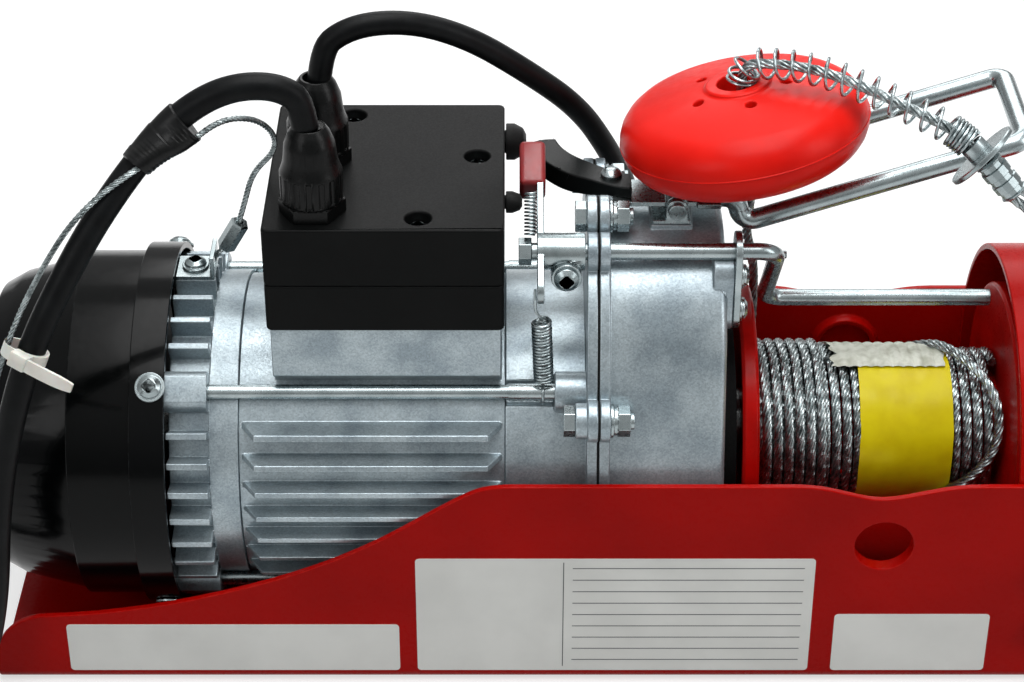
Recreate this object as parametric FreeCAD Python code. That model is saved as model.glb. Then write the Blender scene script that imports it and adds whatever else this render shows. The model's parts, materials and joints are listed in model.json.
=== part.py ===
import FreeCAD, Part
import math
import os

V = FreeCAD.Vector
os.makedirs("parts", exist_ok=True)

# Frame channel: X runs along the drum, Y across it, Z up from the base plate
frame_length = 340.0
frame_width = 110.5
sheet = 2.0
bend_radius = 4.0
wall_height = 73.0
low_wall = 25.0
low_corner = 17.0
ramp_end_x = -14.0
clamp_spacing_x = 180.0
clamp_spacing_y = 76.0
clamp_hole_d = 9.0
sight_hole_d = 17.2
sight_hole_x = 95.2
sight_hole_z = 51.6
sight_collar = 2.5
dip_half = 27.0
dip_depth = 4.5
foot_bolt_r = 3.0
foot_head_r = 4.6
foot_sink = 1.2
foot_x = (20.0, 40.0)
foot_y = 27.0

# Common axis of motor, gears and drum
axis_z = 57.8
tie_rod_circle = 48.7
tie_rod_d = 4.4
tie_thread_d = 5.0
tie_angles = (45.0, 135.0, 225.0, 315.0)

# Motor
housing_x0 = -94.0
housing_x1 = -16.0
housing_r = 46.0
housing_wall = 3.0
fin_tip_r = 52.0
fin_pitch = 8.15
fin_offset = 0.9
fin_thick = 1.7
fin_chamfer = 4.0
fins_each_way = 3
bell_x0 = -114.6
bell_fin_x1 = -102.6
bell_fin_step = 10.0
bell_fin_thick = 2.0
boss_r = 6.0
lug_reach = 7.8
lug_r = 53.4
rod_x0 = bell_x0 + 3.0
rod_groove_r = 4.2
shaft_r = 7.5
rotor_r = 24.0
air_gap = 0.5
core_x0 = -80.0
core_x1 = -30.0
bearing_width = 9.0
motor_bearing_r = 16.0

# Fan cover
cover_wall = 2.0
cover_flange_r = 55.6
cover_body_r = 53.0
cover_x0 = -171.6
cover_step_x = -143.4
cover_flange_x = -124.9
cover_end_r = 45.5
cover_corner = 9.0
cover_slots = 14
fan_r = 43.0

# Gearbox
flange_x0 = 7.65
flange_thick = 3.0
gasket = 0.6
case_end_x = 48.0
case_wall = 3.5
main_lobe_r = 50.0
top_lobe_r = 39.0
flange_lip = 2.0
gear_centres = 36.0
pressure_angle = 25.0
pinion_teeth = 11
lay_teeth = 79
lay_pinion_teeth = 11
drum_gear_teeth = 49
backlash = 0.16
case_bolt_r = 2.5
lay_journal_r = 5.0

# Drum and rope
drum_x0 = 53.8
drum_x1 = 139.4
drum_flange = 5.0
drum_web = 2.5
drum_flange_r = 43.3
drum_hub_r = 15.0
drum_shaft_r = 10.0
drum_bearing_r = 16.0
drum_bearing_width = 8.0
rope_d = 3.0
rope_layers = 4
layer_pitch = 2.6
top_turns = 7
tape_x0 = 91.0
tape_x1 = 119.0
run_gap = 0.3

# End bracket
bracket_x0 = 133.0
bracket_end_x = 158.0
bracket_r = 55.2
bracket_bolt_r = 2.5

# Terminal box
box_x0 = -84.2
box_x1 = -16.2
box_depth = 75.0
box_z0 = 115.4
box_seam = 130.3
box_z1 = 148.7
box_wall = 2.2
pad_low_z = 99.0
front_gland_y = -26.0
rear_gland_y = 3.0
gland_x = -70.2
gland_height = 27.0
lid_screws = ((-24.2, 5.2), (-40.4, -30.5), (-61.5, 30.4))
mains_d = 7.0
pendant_d = 7.8
upper_button = (27.0, 141.5)
lower_button = (-4.0, 138.5)
upper_boot_r = 5.5
lower_boot_r = 3.2
switch_gap = 2.2
switch_half = 3.8

# Limit gear
feeler_d = 5.0
feeler_y = -21.0
feeler_z = 132.0
lever_x = -6.8
lever_thick = 2.0
arm_d = 6.0
arm_front_y = 0.0
arm_rear_y = 41.0
tip_dir = 24.8
pin_y = 6.0
pin_z = 114.5
pin_d = 2.4
hinge_x = 34.0
hinge_z = 138.0
hinge_pin_d = 3.5

# Stopper disc and its spring
disc_centre = V(53.5, 6.4, 158.0)
disc_axis = V(-0.183, 0.076, 0.980).normalize()
disc_r = 36.5
disc_rim = 10.0
disc_hub_h = 14.3
spring_d = 9.0
spring_bend = 5.0

# Rope eye and hook
ferrule_end = (127.5, -25.5, 153.8)
eye_x = 181.0
eye_y = -29.0
eye_bottom_z = 107.5
eye_half = 9.5
thimble_r = 6.3
thimble_half = 1.7
hook_wire_r = 3.0
hook_ring_r = 9.0
latch_z = 85.0

# Support wire, cable coils, plug and handset
wire_d = 1.8
tab_x0 = -114.4
tab_x1 = -102.8
tab_screw_x = -109.0
tab_y = 5.0
mains_coil_centre = (-18.5, 100.0)
mains_coil_r = 35.0
mains_coil_wide = 14.0
mains_coil_high = 14.0
pendant_coil_centre = (-231.0, 0.0)
pendant_coil_r = 42.2
pendant_coil_wide = 23.5
pendant_coil_high = 15.0
plug_r = 18.5
plug_x = -100.0
plug_y = 123.5
handset_x0 = -203.0
handset_y = 80.0
handset_len = 118.0
handset_w = 42.0
handset_h = 29.0
handset_bore_z = 16.0
relief_len = 22.0

frame_left = -frame_length / 2
frame_right = frame_length / 2
inner_y = frame_width / 2 - sheet
lobe_z = axis_z + gear_centres
case_x0 = flange_x0 + flange_thick + gasket
shield_x1 = flange_x0 + flange_thick
rope_r = drum_hub_r + rope_d + (rope_layers - 1) * layer_pitch


def cyl(x0, x1, r, y=0.0, z=axis_z):
    return Part.makeCylinder(r, x1 - x0, V(x0, y, z), V(1, 0, 0))


def ring(x0, x1, r_out, r_in, y=0.0, z=axis_z):
    return cyl(x0, x1, r_out, y, z).cut(cyl(x0 - 1, x1 + 1, r_in, y, z))


def post(x, y, z0, z1, r):
    return Part.makeCylinder(r, z1 - z0, V(x, y, z0), V(0, 0, 1))


def cross(x, y0, y1, z, r):
    return Part.makeCylinder(r, y1 - y0, V(x, y0, z), V(0, 1, 0))


def block(x0, x1, y0, y1, z0, z1):
    return Part.makeBox(x1 - x0, y1 - y0, z1 - z0, V(x0, y0, z0))


def fuse(shapes):
    first = shapes[0]
    return first.fuse(shapes[1:]).removeSplitter() if len(shapes) > 1 else first


def turned(points, y=0.0, z=axis_z):
    # points are (x, radius) pairs of a closed outline, turned about an axis along X
    corners = [V(x, y, z + r) for x, r in points]
    face = Part.Face(Part.makePolygon(corners + corners[:1]))
    return face.revolve(V(0, y, z), V(1, 0, 0), 360)


def spun(points, centre, axis):
    # points are (radius, height) pairs of a closed outline, turned about any axis
    corners = [V(r, 0, h) for r, h in points]
    solid = Part.Face(Part.makePolygon(corners + corners[:1])).revolve(V(0, 0, 0), V(0, 0, 1), 360)
    return aimed(solid, centre, axis)


def aimed(shape, centre, axis):
    # moves a shape built round the Z axis at the origin onto a centre and an axis
    shape.Placement = FreeCAD.Placement(centre, FreeCAD.Rotation(V(0, 0, 1), axis))
    return shape


def hex_x(x0, x1, flats, y, z):
    r = flats / math.sqrt(3)
    pts = [V(x0, y + r * math.cos(math.radians(60 * i)), z + r * math.sin(math.radians(60 * i)))
           for i in range(7)]
    return Part.Face(Part.makePolygon(pts)).extrude(V(x1 - x0, 0, 0))


def hex_z(x, y, z0, z1, flats):
    r = flats / math.sqrt(3)
    pts = [V(x + r * math.cos(math.radians(60 * i)), y + r * math.sin(math.radians(60 * i)), z0)
           for i in range(7)]
    return Part.Face(Part.makePolygon(pts)).extrude(V(0, 0, z1 - z0))


def polar(radius, degrees, z=axis_z):
    a = math.radians(degrees)
    return radius * math.cos(a), z + radius * math.sin(a)


def bend_path(points, radius=None, report=None):
    # straight runs joined by tangent arcs, with a set radius or one sized by the shorter run
    pts = [V(*p) for p in points]
    edges = []
    start = pts[0]
    radii = []
    for before, here, after in zip(pts, pts[1:], pts[2:]):
        u = (before - here).normalize()
        w = (after - here).normalize()
        half_turn = (math.pi - u.getAngle(w)) / 2
        run = min((before - here).Length, (after - here).Length)
        r = radius or 0.45 * run / math.tan(half_turn)
        radii.append(r)
        reach = r * math.tan(half_turn)
        a = here + u * reach
        b = here + w * reach
        centre = here + (u + w).normalize() * (r / math.cos(half_turn))
        middle = centre + (here - centre).normalize() * r
        edges.append(Part.LineSegment(start, a).toShape())
        edges.append(Part.Arc(a, middle, b).toShape())
        start = b
    edges.append(Part.LineSegment(start, pts[-1]).toShape())
    if report:
        print(report, "bend radii", [round(r, 1) for r in radii])
    return Part.Wire(edges)


def tube(points, diameter, radius=None, report=None):
    path = bend_path(points, radius, report)
    start = V(*points[0])
    direction = V(*points[1]) - start
    section = Part.Wire(Part.makeCircle(diameter / 2, start, direction))
    solid = path.makePipeShell([section], True, True)
    if report:
        ratio = solid.Volume / (math.pi * diameter ** 2 / 4 * path.Length)
        print(report, "length", round(path.Length, 1), "volume ratio", round(ratio, 4))
    return solid


def stadium(y, z, length, width, degrees, x0, x1):
    # a strip with round ends in a plane across X, centred on y, z and turned by degrees
    half = (length - width) / 2
    c, s = math.cos(math.radians(degrees)), math.sin(math.radians(degrees))
    ends = [cyl(x0, x1, width / 2, y + k * half * c, z + k * half * s) for k in (-1, 1)]
    bar = block(x0, x1, -half, half, -width / 2, width / 2)
    bar.rotate(V(0, 0, 0), V(1, 0, 0), degrees)
    bar.translate(V(0, y, z))
    return fuse(ends + [bar])


def lobed(x0, x1, r_main, r_top):
    # outline round the main axis and the layshaft, joined by straight tangents
    a = math.asin((r_main - r_top) / gear_centres)
    c, s = math.cos(a), math.sin(a)
    low = [V(x0, k * r_main * c, axis_z + r_main * s) for k in (1, -1)]
    high = [V(x0, k * r_top * c, lobe_z + r_top * s) for k in (1, -1)]
    edges = [Part.LineSegment(low[0], high[0]).toShape(),
             Part.Arc(high[0], V(x0, 0, lobe_z + r_top), high[1]).toShape(),
             Part.LineSegment(high[1], low[1]).toShape(),
             Part.Arc(low[1], V(x0, 0, axis_z - r_main), low[0]).toShape()]
    return Part.Face(Part.Wire(edges)).extrude(V(x1 - x0, 0, 0))


def gear(x0, x1, teeth, pitch_radius, z, phase):
    # stub involute teeth; phase is the angle of one tooth's middle, from +Y towards +Z
    module = 2 * pitch_radius / teeth
    alpha = math.radians(pressure_angle)
    base = pitch_radius * math.cos(alpha)
    root = pitch_radius - 1.05 * module
    tip = pitch_radius + 0.8 * module
    half_pitch = math.pi / (2 * teeth) - backlash / (4 * pitch_radius)

    def half_angle(r):
        if r <= base:
            return half_pitch + math.tan(alpha) - alpha
        p = math.acos(base / r)
        return half_pitch + (math.tan(alpha) - alpha) - (math.tan(p) - p)

    flank = [max(root, base * 0.985), pitch_radius, tip]
    profile = [(root, -half_angle(flank[0]) * 1.02)]
    profile += [(r, -half_angle(r)) for r in flank]
    profile += [(r, half_angle(r)) for r in reversed(flank)]
    profile += [(root, half_angle(flank[0]) * 1.02)]
    pts = []
    for i in range(teeth):
        middle = math.radians(phase) + 2 * math.pi * i / teeth
        for r, a in profile:
            p = V(x0, r * math.cos(middle + a), z + r * math.sin(middle + a))
            if not pts or (p - pts[-1]).Length > 1e-3:
                pts.append(p)
    return Part.Face(Part.makePolygon(pts + pts[:1])).extrude(V(x1 - x0, 0, 0))


def make_base_frame():
    w, h, b = frame_width / 2, wall_height, bend_radius
    inner = b - sheet
    pts = [(-w, h), (-w, b), None, (-w + b, 0), (w - b, 0), None, (w, b), (w, h),
           (w - sheet, h), (w - sheet, b), None, (w - b, sheet), (-w + b, sheet), None,
           (-w + sheet, b), (-w + sheet, h)]
    mids = iter([(-w + b * 0.293, b * 0.293), (w - b * 0.293, b * 0.293),
                 (w - b + inner * 0.707, b - inner * 0.707),
                 (-w + b - inner * 0.707, b - inner * 0.707)])
    edges = []
    previous = None
    bend = None
    for p in pts + pts[:1]:
        if p is None:
            bend = next(mids)
            continue
        here = V(frame_left, *p)
        if previous is not None and bend is None:
            edges.append(Part.LineSegment(previous, here).toShape())
        elif previous is not None:
            edges.append(Part.Arc(previous, V(frame_left, *bend), here).toShape())
        previous, bend = here, None
    channel = Part.Face(Part.Wire(edges)).extrude(V(frame_length, 0, 0))

    def xz(x, z):
        return V(x, -w - 1, z)

    c = low_corner
    ramp = Part.BSplineCurve()
    rise = wall_height - low_wall
    ramp_x0 = frame_left + c
    ramp_run = ramp_end_x - ramp_x0
    ramp.interpolate(Points=[xz(ramp_x0 + ramp_run * a, low_wall + rise * k)
                             for a, k in ((0, 0), (0.39, 0.19), (0.73, 0.61), (0.9, 0.93), (1, 1))],
                     InitialTangent=V(60, 0, 2), FinalTangent=V(20, 0, 0))
    dip = Part.BSplineCurve()
    dip_x0, dip_x1 = sight_hole_x - dip_half, sight_hole_x + dip_half
    dip.interpolate(Points=[xz(dip_x0, h), xz(sight_hole_x - 3, h - dip_depth), xz(dip_x1, h)],
                    InitialTangent=V(20, 0, 0), FinalTangent=V(20, 0, 0))
    side = [Part.LineSegment(xz(frame_left, 0), xz(frame_left, low_wall - c)).toShape(),
            Part.Arc(xz(frame_left, low_wall - c),
                     xz(frame_left + c * 0.293, low_wall - c * 0.293),
                     xz(ramp_x0, low_wall)).toShape(),
            ramp.toShape(),
            Part.LineSegment(xz(ramp_end_x, h), xz(dip_x0, h)).toShape(),
            dip.toShape(),
            Part.LineSegment(xz(dip_x1, h), xz(frame_right, h)).toShape(),
            Part.LineSegment(xz(frame_right, h), xz(frame_right, 0)).toShape(),
            Part.LineSegment(xz(frame_right, 0), xz(frame_left, 0)).toShape()]
    frame = channel.common(Part.Face(Part.Wire(side)).extrude(V(0, 2 * w + 2, 0)))
    r = sight_hole_d / 2
    for k in (-1, 1):
        wall_y = k * (w - sheet)
        collar = Part.makeCone(r + 2.6, r + 1.6, sight_collar,
                               V(sight_hole_x, wall_y, sight_hole_z), V(0, -k, 0))
        frame = frame.fuse(collar)
    frame = frame.cut(cross(sight_hole_x, -w - 1, w + 1, sight_hole_z, r))
    for x in (-clamp_spacing_x / 2, clamp_spacing_x / 2):
        for y in (-clamp_spacing_y / 2, clamp_spacing_y / 2):
            frame = frame.cut(post(x, y, -1, sheet + 1, clamp_hole_d / 2))
    for x, y in foot_bolt_places():
        frame = frame.cut(post(x, y, -1, sheet + 1, foot_bolt_r + 0.2))
        frame = frame.cut(post(x, y, -1, foot_sink, foot_head_r + 0.3))
    for x, z in bracket_bolt_places():
        frame = frame.cut(cross(x, -w - 1, w + 1, z, bracket_bolt_r + 0.2))
    return frame.removeSplitter()


def foot_bolt_places():
    return [(x, y) for x in foot_x for y in (-foot_y, foot_y)]


def bracket_bolt_places():
    return [(bracket_x0 + 12, 20.0), (bracket_x0 + 12, 42.0)]


def make_frame_bolts():
    # countersunk-depth screws up into the gearbox feet, and button screws through the walls
    bolts = []
    for x, y in foot_bolt_places():
        bolts.append(fuse([post(x, y, 0.2, 14, foot_bolt_r), post(x, y, 0.3, foot_sink, foot_head_r)]))
    for x, z in bracket_bolt_places():
        for k in (-1, 1):
            y_out = frame_width / 2
            head = Part.makeCylinder(4.5, 2.4, V(x, k * y_out, z), V(0, k, 0))
            shank = Part.makeCylinder(bracket_bolt_r, 2 * sheet + 4.6, V(x, k * y_out, z), V(0, -k, 0))
            nut = hex_z(0, 0, 0, 3.5, 8.0)
            nut = aimed(nut, V(x, k * (inner_y - sheet - 0.4), z), V(0, -k, 0))
            bolts.append(fuse([head, shank, nut]))
    return Part.makeCompound(bolts)


def hood(x0, x1, shrink, z0):
    # the arched outline above the walls, with straight legs between them
    leg_y = inner_y - 0.2 - shrink
    r = bracket_r - shrink
    z_join = axis_z + math.sqrt(r * r - leg_y * leg_y)
    edges = [Part.LineSegment(V(x0, -leg_y, z0), V(x0, -leg_y, z_join)).toShape(),
             Part.Arc(V(x0, -leg_y, z_join), V(x0, 0, axis_z + r), V(x0, leg_y, z_join)).toShape(),
             Part.LineSegment(V(x0, leg_y, z_join), V(x0, leg_y, z0)).toShape(),
             Part.LineSegment(V(x0, leg_y, z0), V(x0, -leg_y, z0)).toShape()]
    return Part.Face(Part.Wire(edges)).extrude(V(x1 - x0, 0, 0))


def make_drum_end_bracket():
    low = bend_radius + 0.1
    shell = hood(bracket_x0, bracket_end_x, 0, low)
    shell = shell.cut(hood(bracket_x0 - 1, bracket_end_x - sheet, sheet, low - 1))
    boss_x1 = bracket_end_x + drum_bearing_width + 2 + sheet
    shell = fuse([shell, cyl(bracket_end_x - sheet, boss_x1, drum_bearing_r + 3)])
    shell = shell.cut(cyl(bracket_end_x - sheet - 1, boss_x1 - sheet, drum_bearing_r))
    for x, z in bracket_bolt_places():
        shell = shell.cut(cross(x, -frame_width, frame_width, z, bracket_bolt_r + 0.2))
    return shell


def make_motor_housing():
    x0, x1 = housing_x0, housing_x1
    body = cyl(x0, x1, housing_r)
    envelope = turned([(x0 + 1, 0), (x0 + 1, housing_r), (x0 + 1 + fin_chamfer, fin_tip_r),
                       (x1 - 1 - fin_chamfer, fin_tip_r), (x1 - 1, housing_r), (x1 - 1, 0)])
    half = fin_thick / 2
    fins = [block(x0, x1, -fin_tip_r - 1, fin_tip_r + 1, z - half, z + half)
            for z in [axis_z + fin_offset + fin_pitch * k for k in range(-fins_each_way, fins_each_way + 1)]]
    comb = Part.makeCompound(fins).common(envelope)
    top = box_z0
    side = box_depth / 2 - 1.5
    pad = Part.Face(Part.makePolygon([V(box_x0 + 1, y, z) for y, z in (
        (-side, top), (side, top), (side, pad_low_z), (26, pad_low_z - 9),
        (-26, pad_low_z - 9), (-side, pad_low_z), (-side, top))])).extrude(V(box_x1 - box_x0 - 2, 0, 0))
    body = body.fuse([comb, pad]).cut(cyl(x0 - 1, x1 + 1, housing_r - housing_wall))
    wire_way = post((box_x0 + box_x1) / 2, 0, axis_z + 30, top + 1, 9)
    return body.cut(wire_way).removeSplitter()


def make_rear_end_bell():
    x0, x1 = bell_x0, housing_x0
    ring_r = housing_r + 1
    body = turned([(x0, 0), (x0, ring_r - 2), (bell_fin_x1, ring_r - 2), (bell_fin_x1, ring_r),
                   (x1 - 0.05, ring_r), (x1 - 0.05, 0)])
    fins = []
    for i in range(36):
        degrees = i * bell_fin_step
        if min(abs((degrees - a + 180) % 360 - 180) for a in tie_angles) < 8:
            continue
        fin = block(x0, bell_fin_x1, ring_r - 4, fin_tip_r, -bell_fin_thick / 2, bell_fin_thick / 2)
        fin.rotate(V(0, 0, 0), V(1, 0, 0), degrees)
        fin.translate(V(0, 0, axis_z))
        fins.append(fin)
    for a in tie_angles:
        y, z = polar(tie_rod_circle, a)
        lug = cyl(x0 - lug_reach, bell_fin_x1, boss_r, y, z)
        fins.append(lug.common(cyl(x0 - lug_reach, bell_fin_x1, lug_r)))
    fins.append(post(tab_screw_x, tab_y, axis_z + ring_r - 4, tab_z - 0.05, 4.2))
    body = body.fuse(fins)
    body = body.cut(cyl(x0 + 12, x1 + 1, housing_r - housing_wall))
    body = body.cut(cyl(x0 - 1, x0 + bearing_width, motor_bearing_r))
    body = body.cut(cyl(x0, x0 + 13, shaft_r + 2))
    for a in tie_angles:
        y, z = polar(tie_rod_circle, a)
        body = body.cut(cyl(rod_x0 - 0.3, x1 + 1, tie_thread_d / 2 + 0.05, y, z))
    body = body.cut([screw_bore(a, lug_r - 4.0, lug_r + 2, 1.65) for a in tie_angles])
    return body.cut(post(tab_screw_x, tab_y, tab_z - 6.3, tab_z, 1.65)).removeSplitter()


def screw_bore(degrees, r0, r1, radius):
    # a radial hole for one fan cover screw
    out = V(0, math.cos(math.radians(degrees)), math.sin(math.radians(degrees)))
    return Part.makeCylinder(radius, r1 - r0, V(cover_screw_x, 0, axis_z) + out * r0, out)


def make_fan_cover():
    step, end = cover_step_x, cover_x0
    wall = cover_wall
    x1 = bell_x0
    outer = [(x1, cover_flange_r), (cover_flange_x, cover_flange_r), (cover_flange_x, cover_body_r),
             (step, cover_body_r), (step, cover_body_r - 1.2), (end + cover_corner, cover_end_r + 1.5),
             (end + cover_corner * 0.3, cover_end_r - cover_corner * 0.22),
             (end, cover_end_r - cover_corner)]
    solid = turned([(x1, 0)] + outer + [(end, 0)])
    inner = [(x, max(r - wall, 0)) for x, r in outer]
    inner[0] = (x1 + 1, inner[0][1])
    inner[1] = (cover_flange_x + wall, inner[1][1])
    inner[2] = (cover_flange_x + wall, inner[2][1])
    inner[3] = (step + wall, inner[3][1])
    inner[4] = (step + wall, inner[4][1])
    inner[6] = (inner[6][0] + wall, inner[6][1])
    inner[7] = (end + wall, inner[7][1])
    solid = solid.cut(turned([(x1 + 1, 0)] + inner + [(end + wall, 0)]))
    slots = []
    for i in range(cover_slots):
        slot = block(end - 1, end + wall + 1, 14, cover_end_r - cover_corner - 3, -1.6, 1.6)
        slot.rotate(V(0, 0, 0), V(1, 0, 0), 360.0 * i / cover_slots)
        slot.translate(V(0, 0, axis_z))
        slots.append(slot)
    return solid.cut(slots).cut([screw_bore(a, lug_r - 1, cover_flange_r + 1, 1.75) for a in tie_angles])


def screw_head(place, axis, head_r, head_h, shank_r, shank, washer_r=0.0):
    # a pan-head screw with its shank behind the head, and a washer where one is fitted
    lift = 0.8 if washer_r else 0.0
    outline = [(0, -shank), (shank_r, -shank), (shank_r, 0)]
    if washer_r:
        outline += [(washer_r, 0), (washer_r, lift), (head_r, lift)]
    else:
        outline += [(head_r, 0)]
    outline += [(head_r, lift + head_h * 0.45), (head_r * 0.6, lift + head_h), (0, lift + head_h)]
    solid = spun(outline, place, axis)
    cut = [block(-head_r * 0.55, head_r * 0.55, -head_r * 0.12, head_r * 0.12,
                 lift + head_h * 0.45, lift + head_h + 1),
           block(-head_r * 0.12, head_r * 0.12, -head_r * 0.55, head_r * 0.55,
                 lift + head_h * 0.45, lift + head_h + 1)]
    for tool in cut:
        tool.Placement = solid.Placement
    return solid.cut(cut)


cover_screw_x = bell_x0 - 4.0


def make_cover_screws():
    screws = []
    for a in tie_angles:
        y, z = polar(cover_flange_r, a)
        out = V(0, math.cos(math.radians(a)), math.sin(math.radians(a)))
        screws.append(screw_head(V(cover_screw_x, y, z) + out * 0.1, out, 3.4, 2.0, 1.6, 5.0, 4.4))
    for x, y in lid_screws:
        screws.append(screw_head(V(x, y, box_z1 - 4.0), V(0, 0, 1), 3.0, 2.0, 1.4, 9.0))
    return Part.makeCompound(screws)


def make_tie_rods():
    # studs from the end bell's bosses to the front shield, threaded at both ends
    rods = []
    x0, x1 = rod_x0, flange_x0 - 0.4
    for a in tie_angles:
        y, z = polar(tie_rod_circle, a)
        shank = cyl(x0, x1, tie_rod_d / 2, y, z)
        ends = [cyl(x0, bell_fin_x1 - 1.5, tie_thread_d / 2, y, z),
                cyl(housing_x1 + 1.0, x1, tie_thread_d / 2, y, z)]
        rods.append(fuse([shank] + ends))
    return Part.makeCompound(rods)


case_bolts = [polar(57.7, 35.0), polar(57.7, 145.0), polar(55.2, -35.0), polar(55.2, 215.0)] + [
    polar(44.2, a, lobe_z) for a in (102.5, 52.8)]


def flange_outline(x0, x1, grow=0.0):
    plate = lobed(x0, x1, main_lobe_r + flange_lip + grow, top_lobe_r + flange_lip + grow)
    ears = [cyl(x0, x1, 6.2 + grow, y, z) for y, z in case_bolts]
    ears.append(cyl(x0, x1, 5.6 + grow, feeler_y, feeler_z))
    return fuse([plate] + ears)


def pierce_flange(shape):
    for y, z in case_bolts:
        shape = shape.cut(cyl(-20, 60, case_bolt_r + 0.2, y, z))
    return shape.cut(cyl(-20, guide_x + 1, feeler_d / 2 + 0.06, feeler_y, feeler_z))


def make_front_shield():
    x0 = housing_x1 + 0.05
    r = housing_r + 1
    shell = cyl(x0, shield_x1, r).fuse(flange_outline(flange_x0, shield_x1))
    bosses = []
    for a in tie_angles:
        y, z = polar(tie_rod_circle, a)
        bosses.append(cyl(-1.6, flange_x0 + 1, boss_r, y, z))
    for y, z in case_bolts[:4]:
        bosses.append(cyl(flange_x0 - 3.5, flange_x0 + 1, 5.2, y, z))
    bosses.append(cyl(flange_x0 - 6.0, shield_x1, 9.0, 0, lobe_z))
    shell = shell.fuse(bosses)
    shell = shell.cut(cyl(x0 - 1, 1.5, housing_r - housing_wall))
    shell = shell.fuse(cyl(-6.0, 4.0, motor_bearing_r + 3.5))
    shell = shell.cut(cyl(-7.0, 4.0, motor_bearing_r))
    shell = shell.cut(cyl(0, 20, shaft_r + 1.5))
    shell = shell.cut(cyl(flange_x0 - 4.0, 20, lay_journal_r + 0.05, 0, lobe_z))
    for a in tie_angles:
        y, z = polar(tie_rod_circle, a)
        shell = shell.cut(cyl(x0 - 1, flange_x0 - 0.3, tie_thread_d / 2 + 0.05, y, z))
        shell = shell.cut(cyl(x0 - 1, -1.7, rod_groove_r, y, z))
    return pierce_flange(shell).removeSplitter()


def make_case_gasket():
    sheet_metal = flange_outline(shield_x1, case_x0, -0.3)
    sheet_metal = sheet_metal.cut(lobed(shield_x1 - 1, case_x0 + 1, main_lobe_r - case_wall,
                                        top_lobe_r - case_wall))
    return pierce_flange(sheet_metal)


guide_x = case_end_x + 2.0
guide_screws = (feeler_z - 8.0, feeler_z - 19.3)
seat_r = drum_bearing_r + 3.0


def make_gear_case():
    body = lobed(case_x0, case_end_x, main_lobe_r, top_lobe_r)
    body = body.makeFillet(2.5, [e for e in body.Edges if abs(e.CenterOfMass.x - case_end_x) < 0.01])
    body = body.fuse(flange_outline(case_x0, case_x0 + flange_thick))
    extras = [cyl(case_end_x - 5, case_end_x + 4, seat_r),
              stadium(feeler_y + 0.5, feeler_z - 13.6, 24, 12, 90, case_end_x - 4, guide_x),
              block(hinge_x - 7.5, hinge_x + 4.5, -8.5, 12.5, lobe_z + 30, seat_z - 0.02)]
    for x in foot_x:
        for y in (-foot_y, foot_y):
            extras.append(post(x, y, sheet, 24, 8))
    body = body.fuse(extras)
    body = body.cut(lobed(case_x0 - 1, case_end_x - case_wall, main_lobe_r - case_wall,
                          top_lobe_r - case_wall))
    body = body.fuse(cyl(case_end_x - 6.5, case_end_x - 2, seat_r)).fuse(
        cyl(case_end_x - 6, case_end_x - 2, 8.5, 0, lobe_z))
    body = body.cut(cyl(case_end_x - 7, case_end_x + 3.0, drum_bearing_r))
    body = body.cut(cyl(case_end_x - 7, case_end_x + 9, drum_shaft_r + 1.0))
    body = body.cut(cyl(case_end_x - 7, case_end_x - 1.5, lay_journal_r + 0.05, 0, lobe_z))
    for x, y in foot_bolt_places():
        body = body.cut(post(x, y, sheet - 1, 14.3, foot_bolt_r + 0.05))
    for z in guide_screws:
        body = body.cut(cyl(case_end_x - 2, guide_x + 1, 1.75, feeler_y, z))
    body = body.cut(cyl(case_end_x - 2, guide_x + 1, 1.25, pin_y, pin_z))
    return pierce_flange(body).removeSplitter()


def make_case_bolts():
    bolts = []
    for y, z in case_bolts:
        grip0 = flange_x0 - (3.5 if (y, z) in case_bolts[:4] else 0)
        grip1 = case_x0 + flange_thick
        bolts.append(fuse([hex_x(grip0 - 3.4, grip0, 8.0, y, z),
                           cyl(grip0 - 1, grip1 + 7.0, case_bolt_r, y, z),
                           cyl(grip1, grip1 + 1.0, 4.9, y, z),
                           cyl(grip1 + 1.0, grip1 + 2.2, 4.2, y, z),
                           hex_x(grip1 + 2.2, grip1 + 5.8, 8.0, y, z)]))
    return Part.makeCompound(bolts)


def make_stator_core():
    r = housing_r - housing_wall - 0.03
    core = ring(core_x0, core_x1, r, rotor_r + air_gap)
    slots = []
    for i in range(12):
        y, z = polar(33.0, 30.0 * i)
        slots.append(cyl(core_x0 - 1, core_x1 + 1, 4.2, y, z))
    return core.cut(slots)


def make_stator_windings():
    ends = [ring(core_x0 - 9, core_x0, 38.5, 28.0), ring(core_x1, core_x1 + 9, 38.5, 28.0)]
    for i in range(12):
        y, z = polar(33.0, 30.0 * i)
        ends.append(cyl(core_x0 - 1, core_x1 + 1, 4.0, y, z))
    return fuse(ends)


def make_rotor_core():
    core = ring(core_x0, core_x1, rotor_r, shaft_r + 2)
    end_rings = [ring(core_x0 - 4, core_x0, rotor_r - 2, 16), ring(core_x1, core_x1 + 4, rotor_r - 2, 16)]
    return fuse([core] + end_rings)


fan_x0 = cover_step_x + 3.0
fan_x1 = bell_x0 - 8.5
pinion_x0 = shield_x1 + 6.0
pinion_x1 = pinion_x0 + 9.0


def make_motor_shaft():
    shaft = turned([(fan_x0 - 2, 0), (fan_x0 - 2, shaft_r - 1.5), (bell_x0 - 1, shaft_r - 1.5),
                    (bell_x0 - 1, shaft_r), (core_x0 - 12, shaft_r), (core_x0 - 12, shaft_r + 2),
                    (core_x1 + 12, shaft_r + 2), (core_x1 + 12, shaft_r),
                    (5.0, shaft_r), (5.0, 4.2), (pinion_x0, 4.2), (pinion_x0, 0)])
    pitch = gear_centres * pinion_teeth / (pinion_teeth + lay_teeth)
    return fuse([shaft, gear(pinion_x0, pinion_x1, pinion_teeth, pitch, axis_z, 90)])


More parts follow.
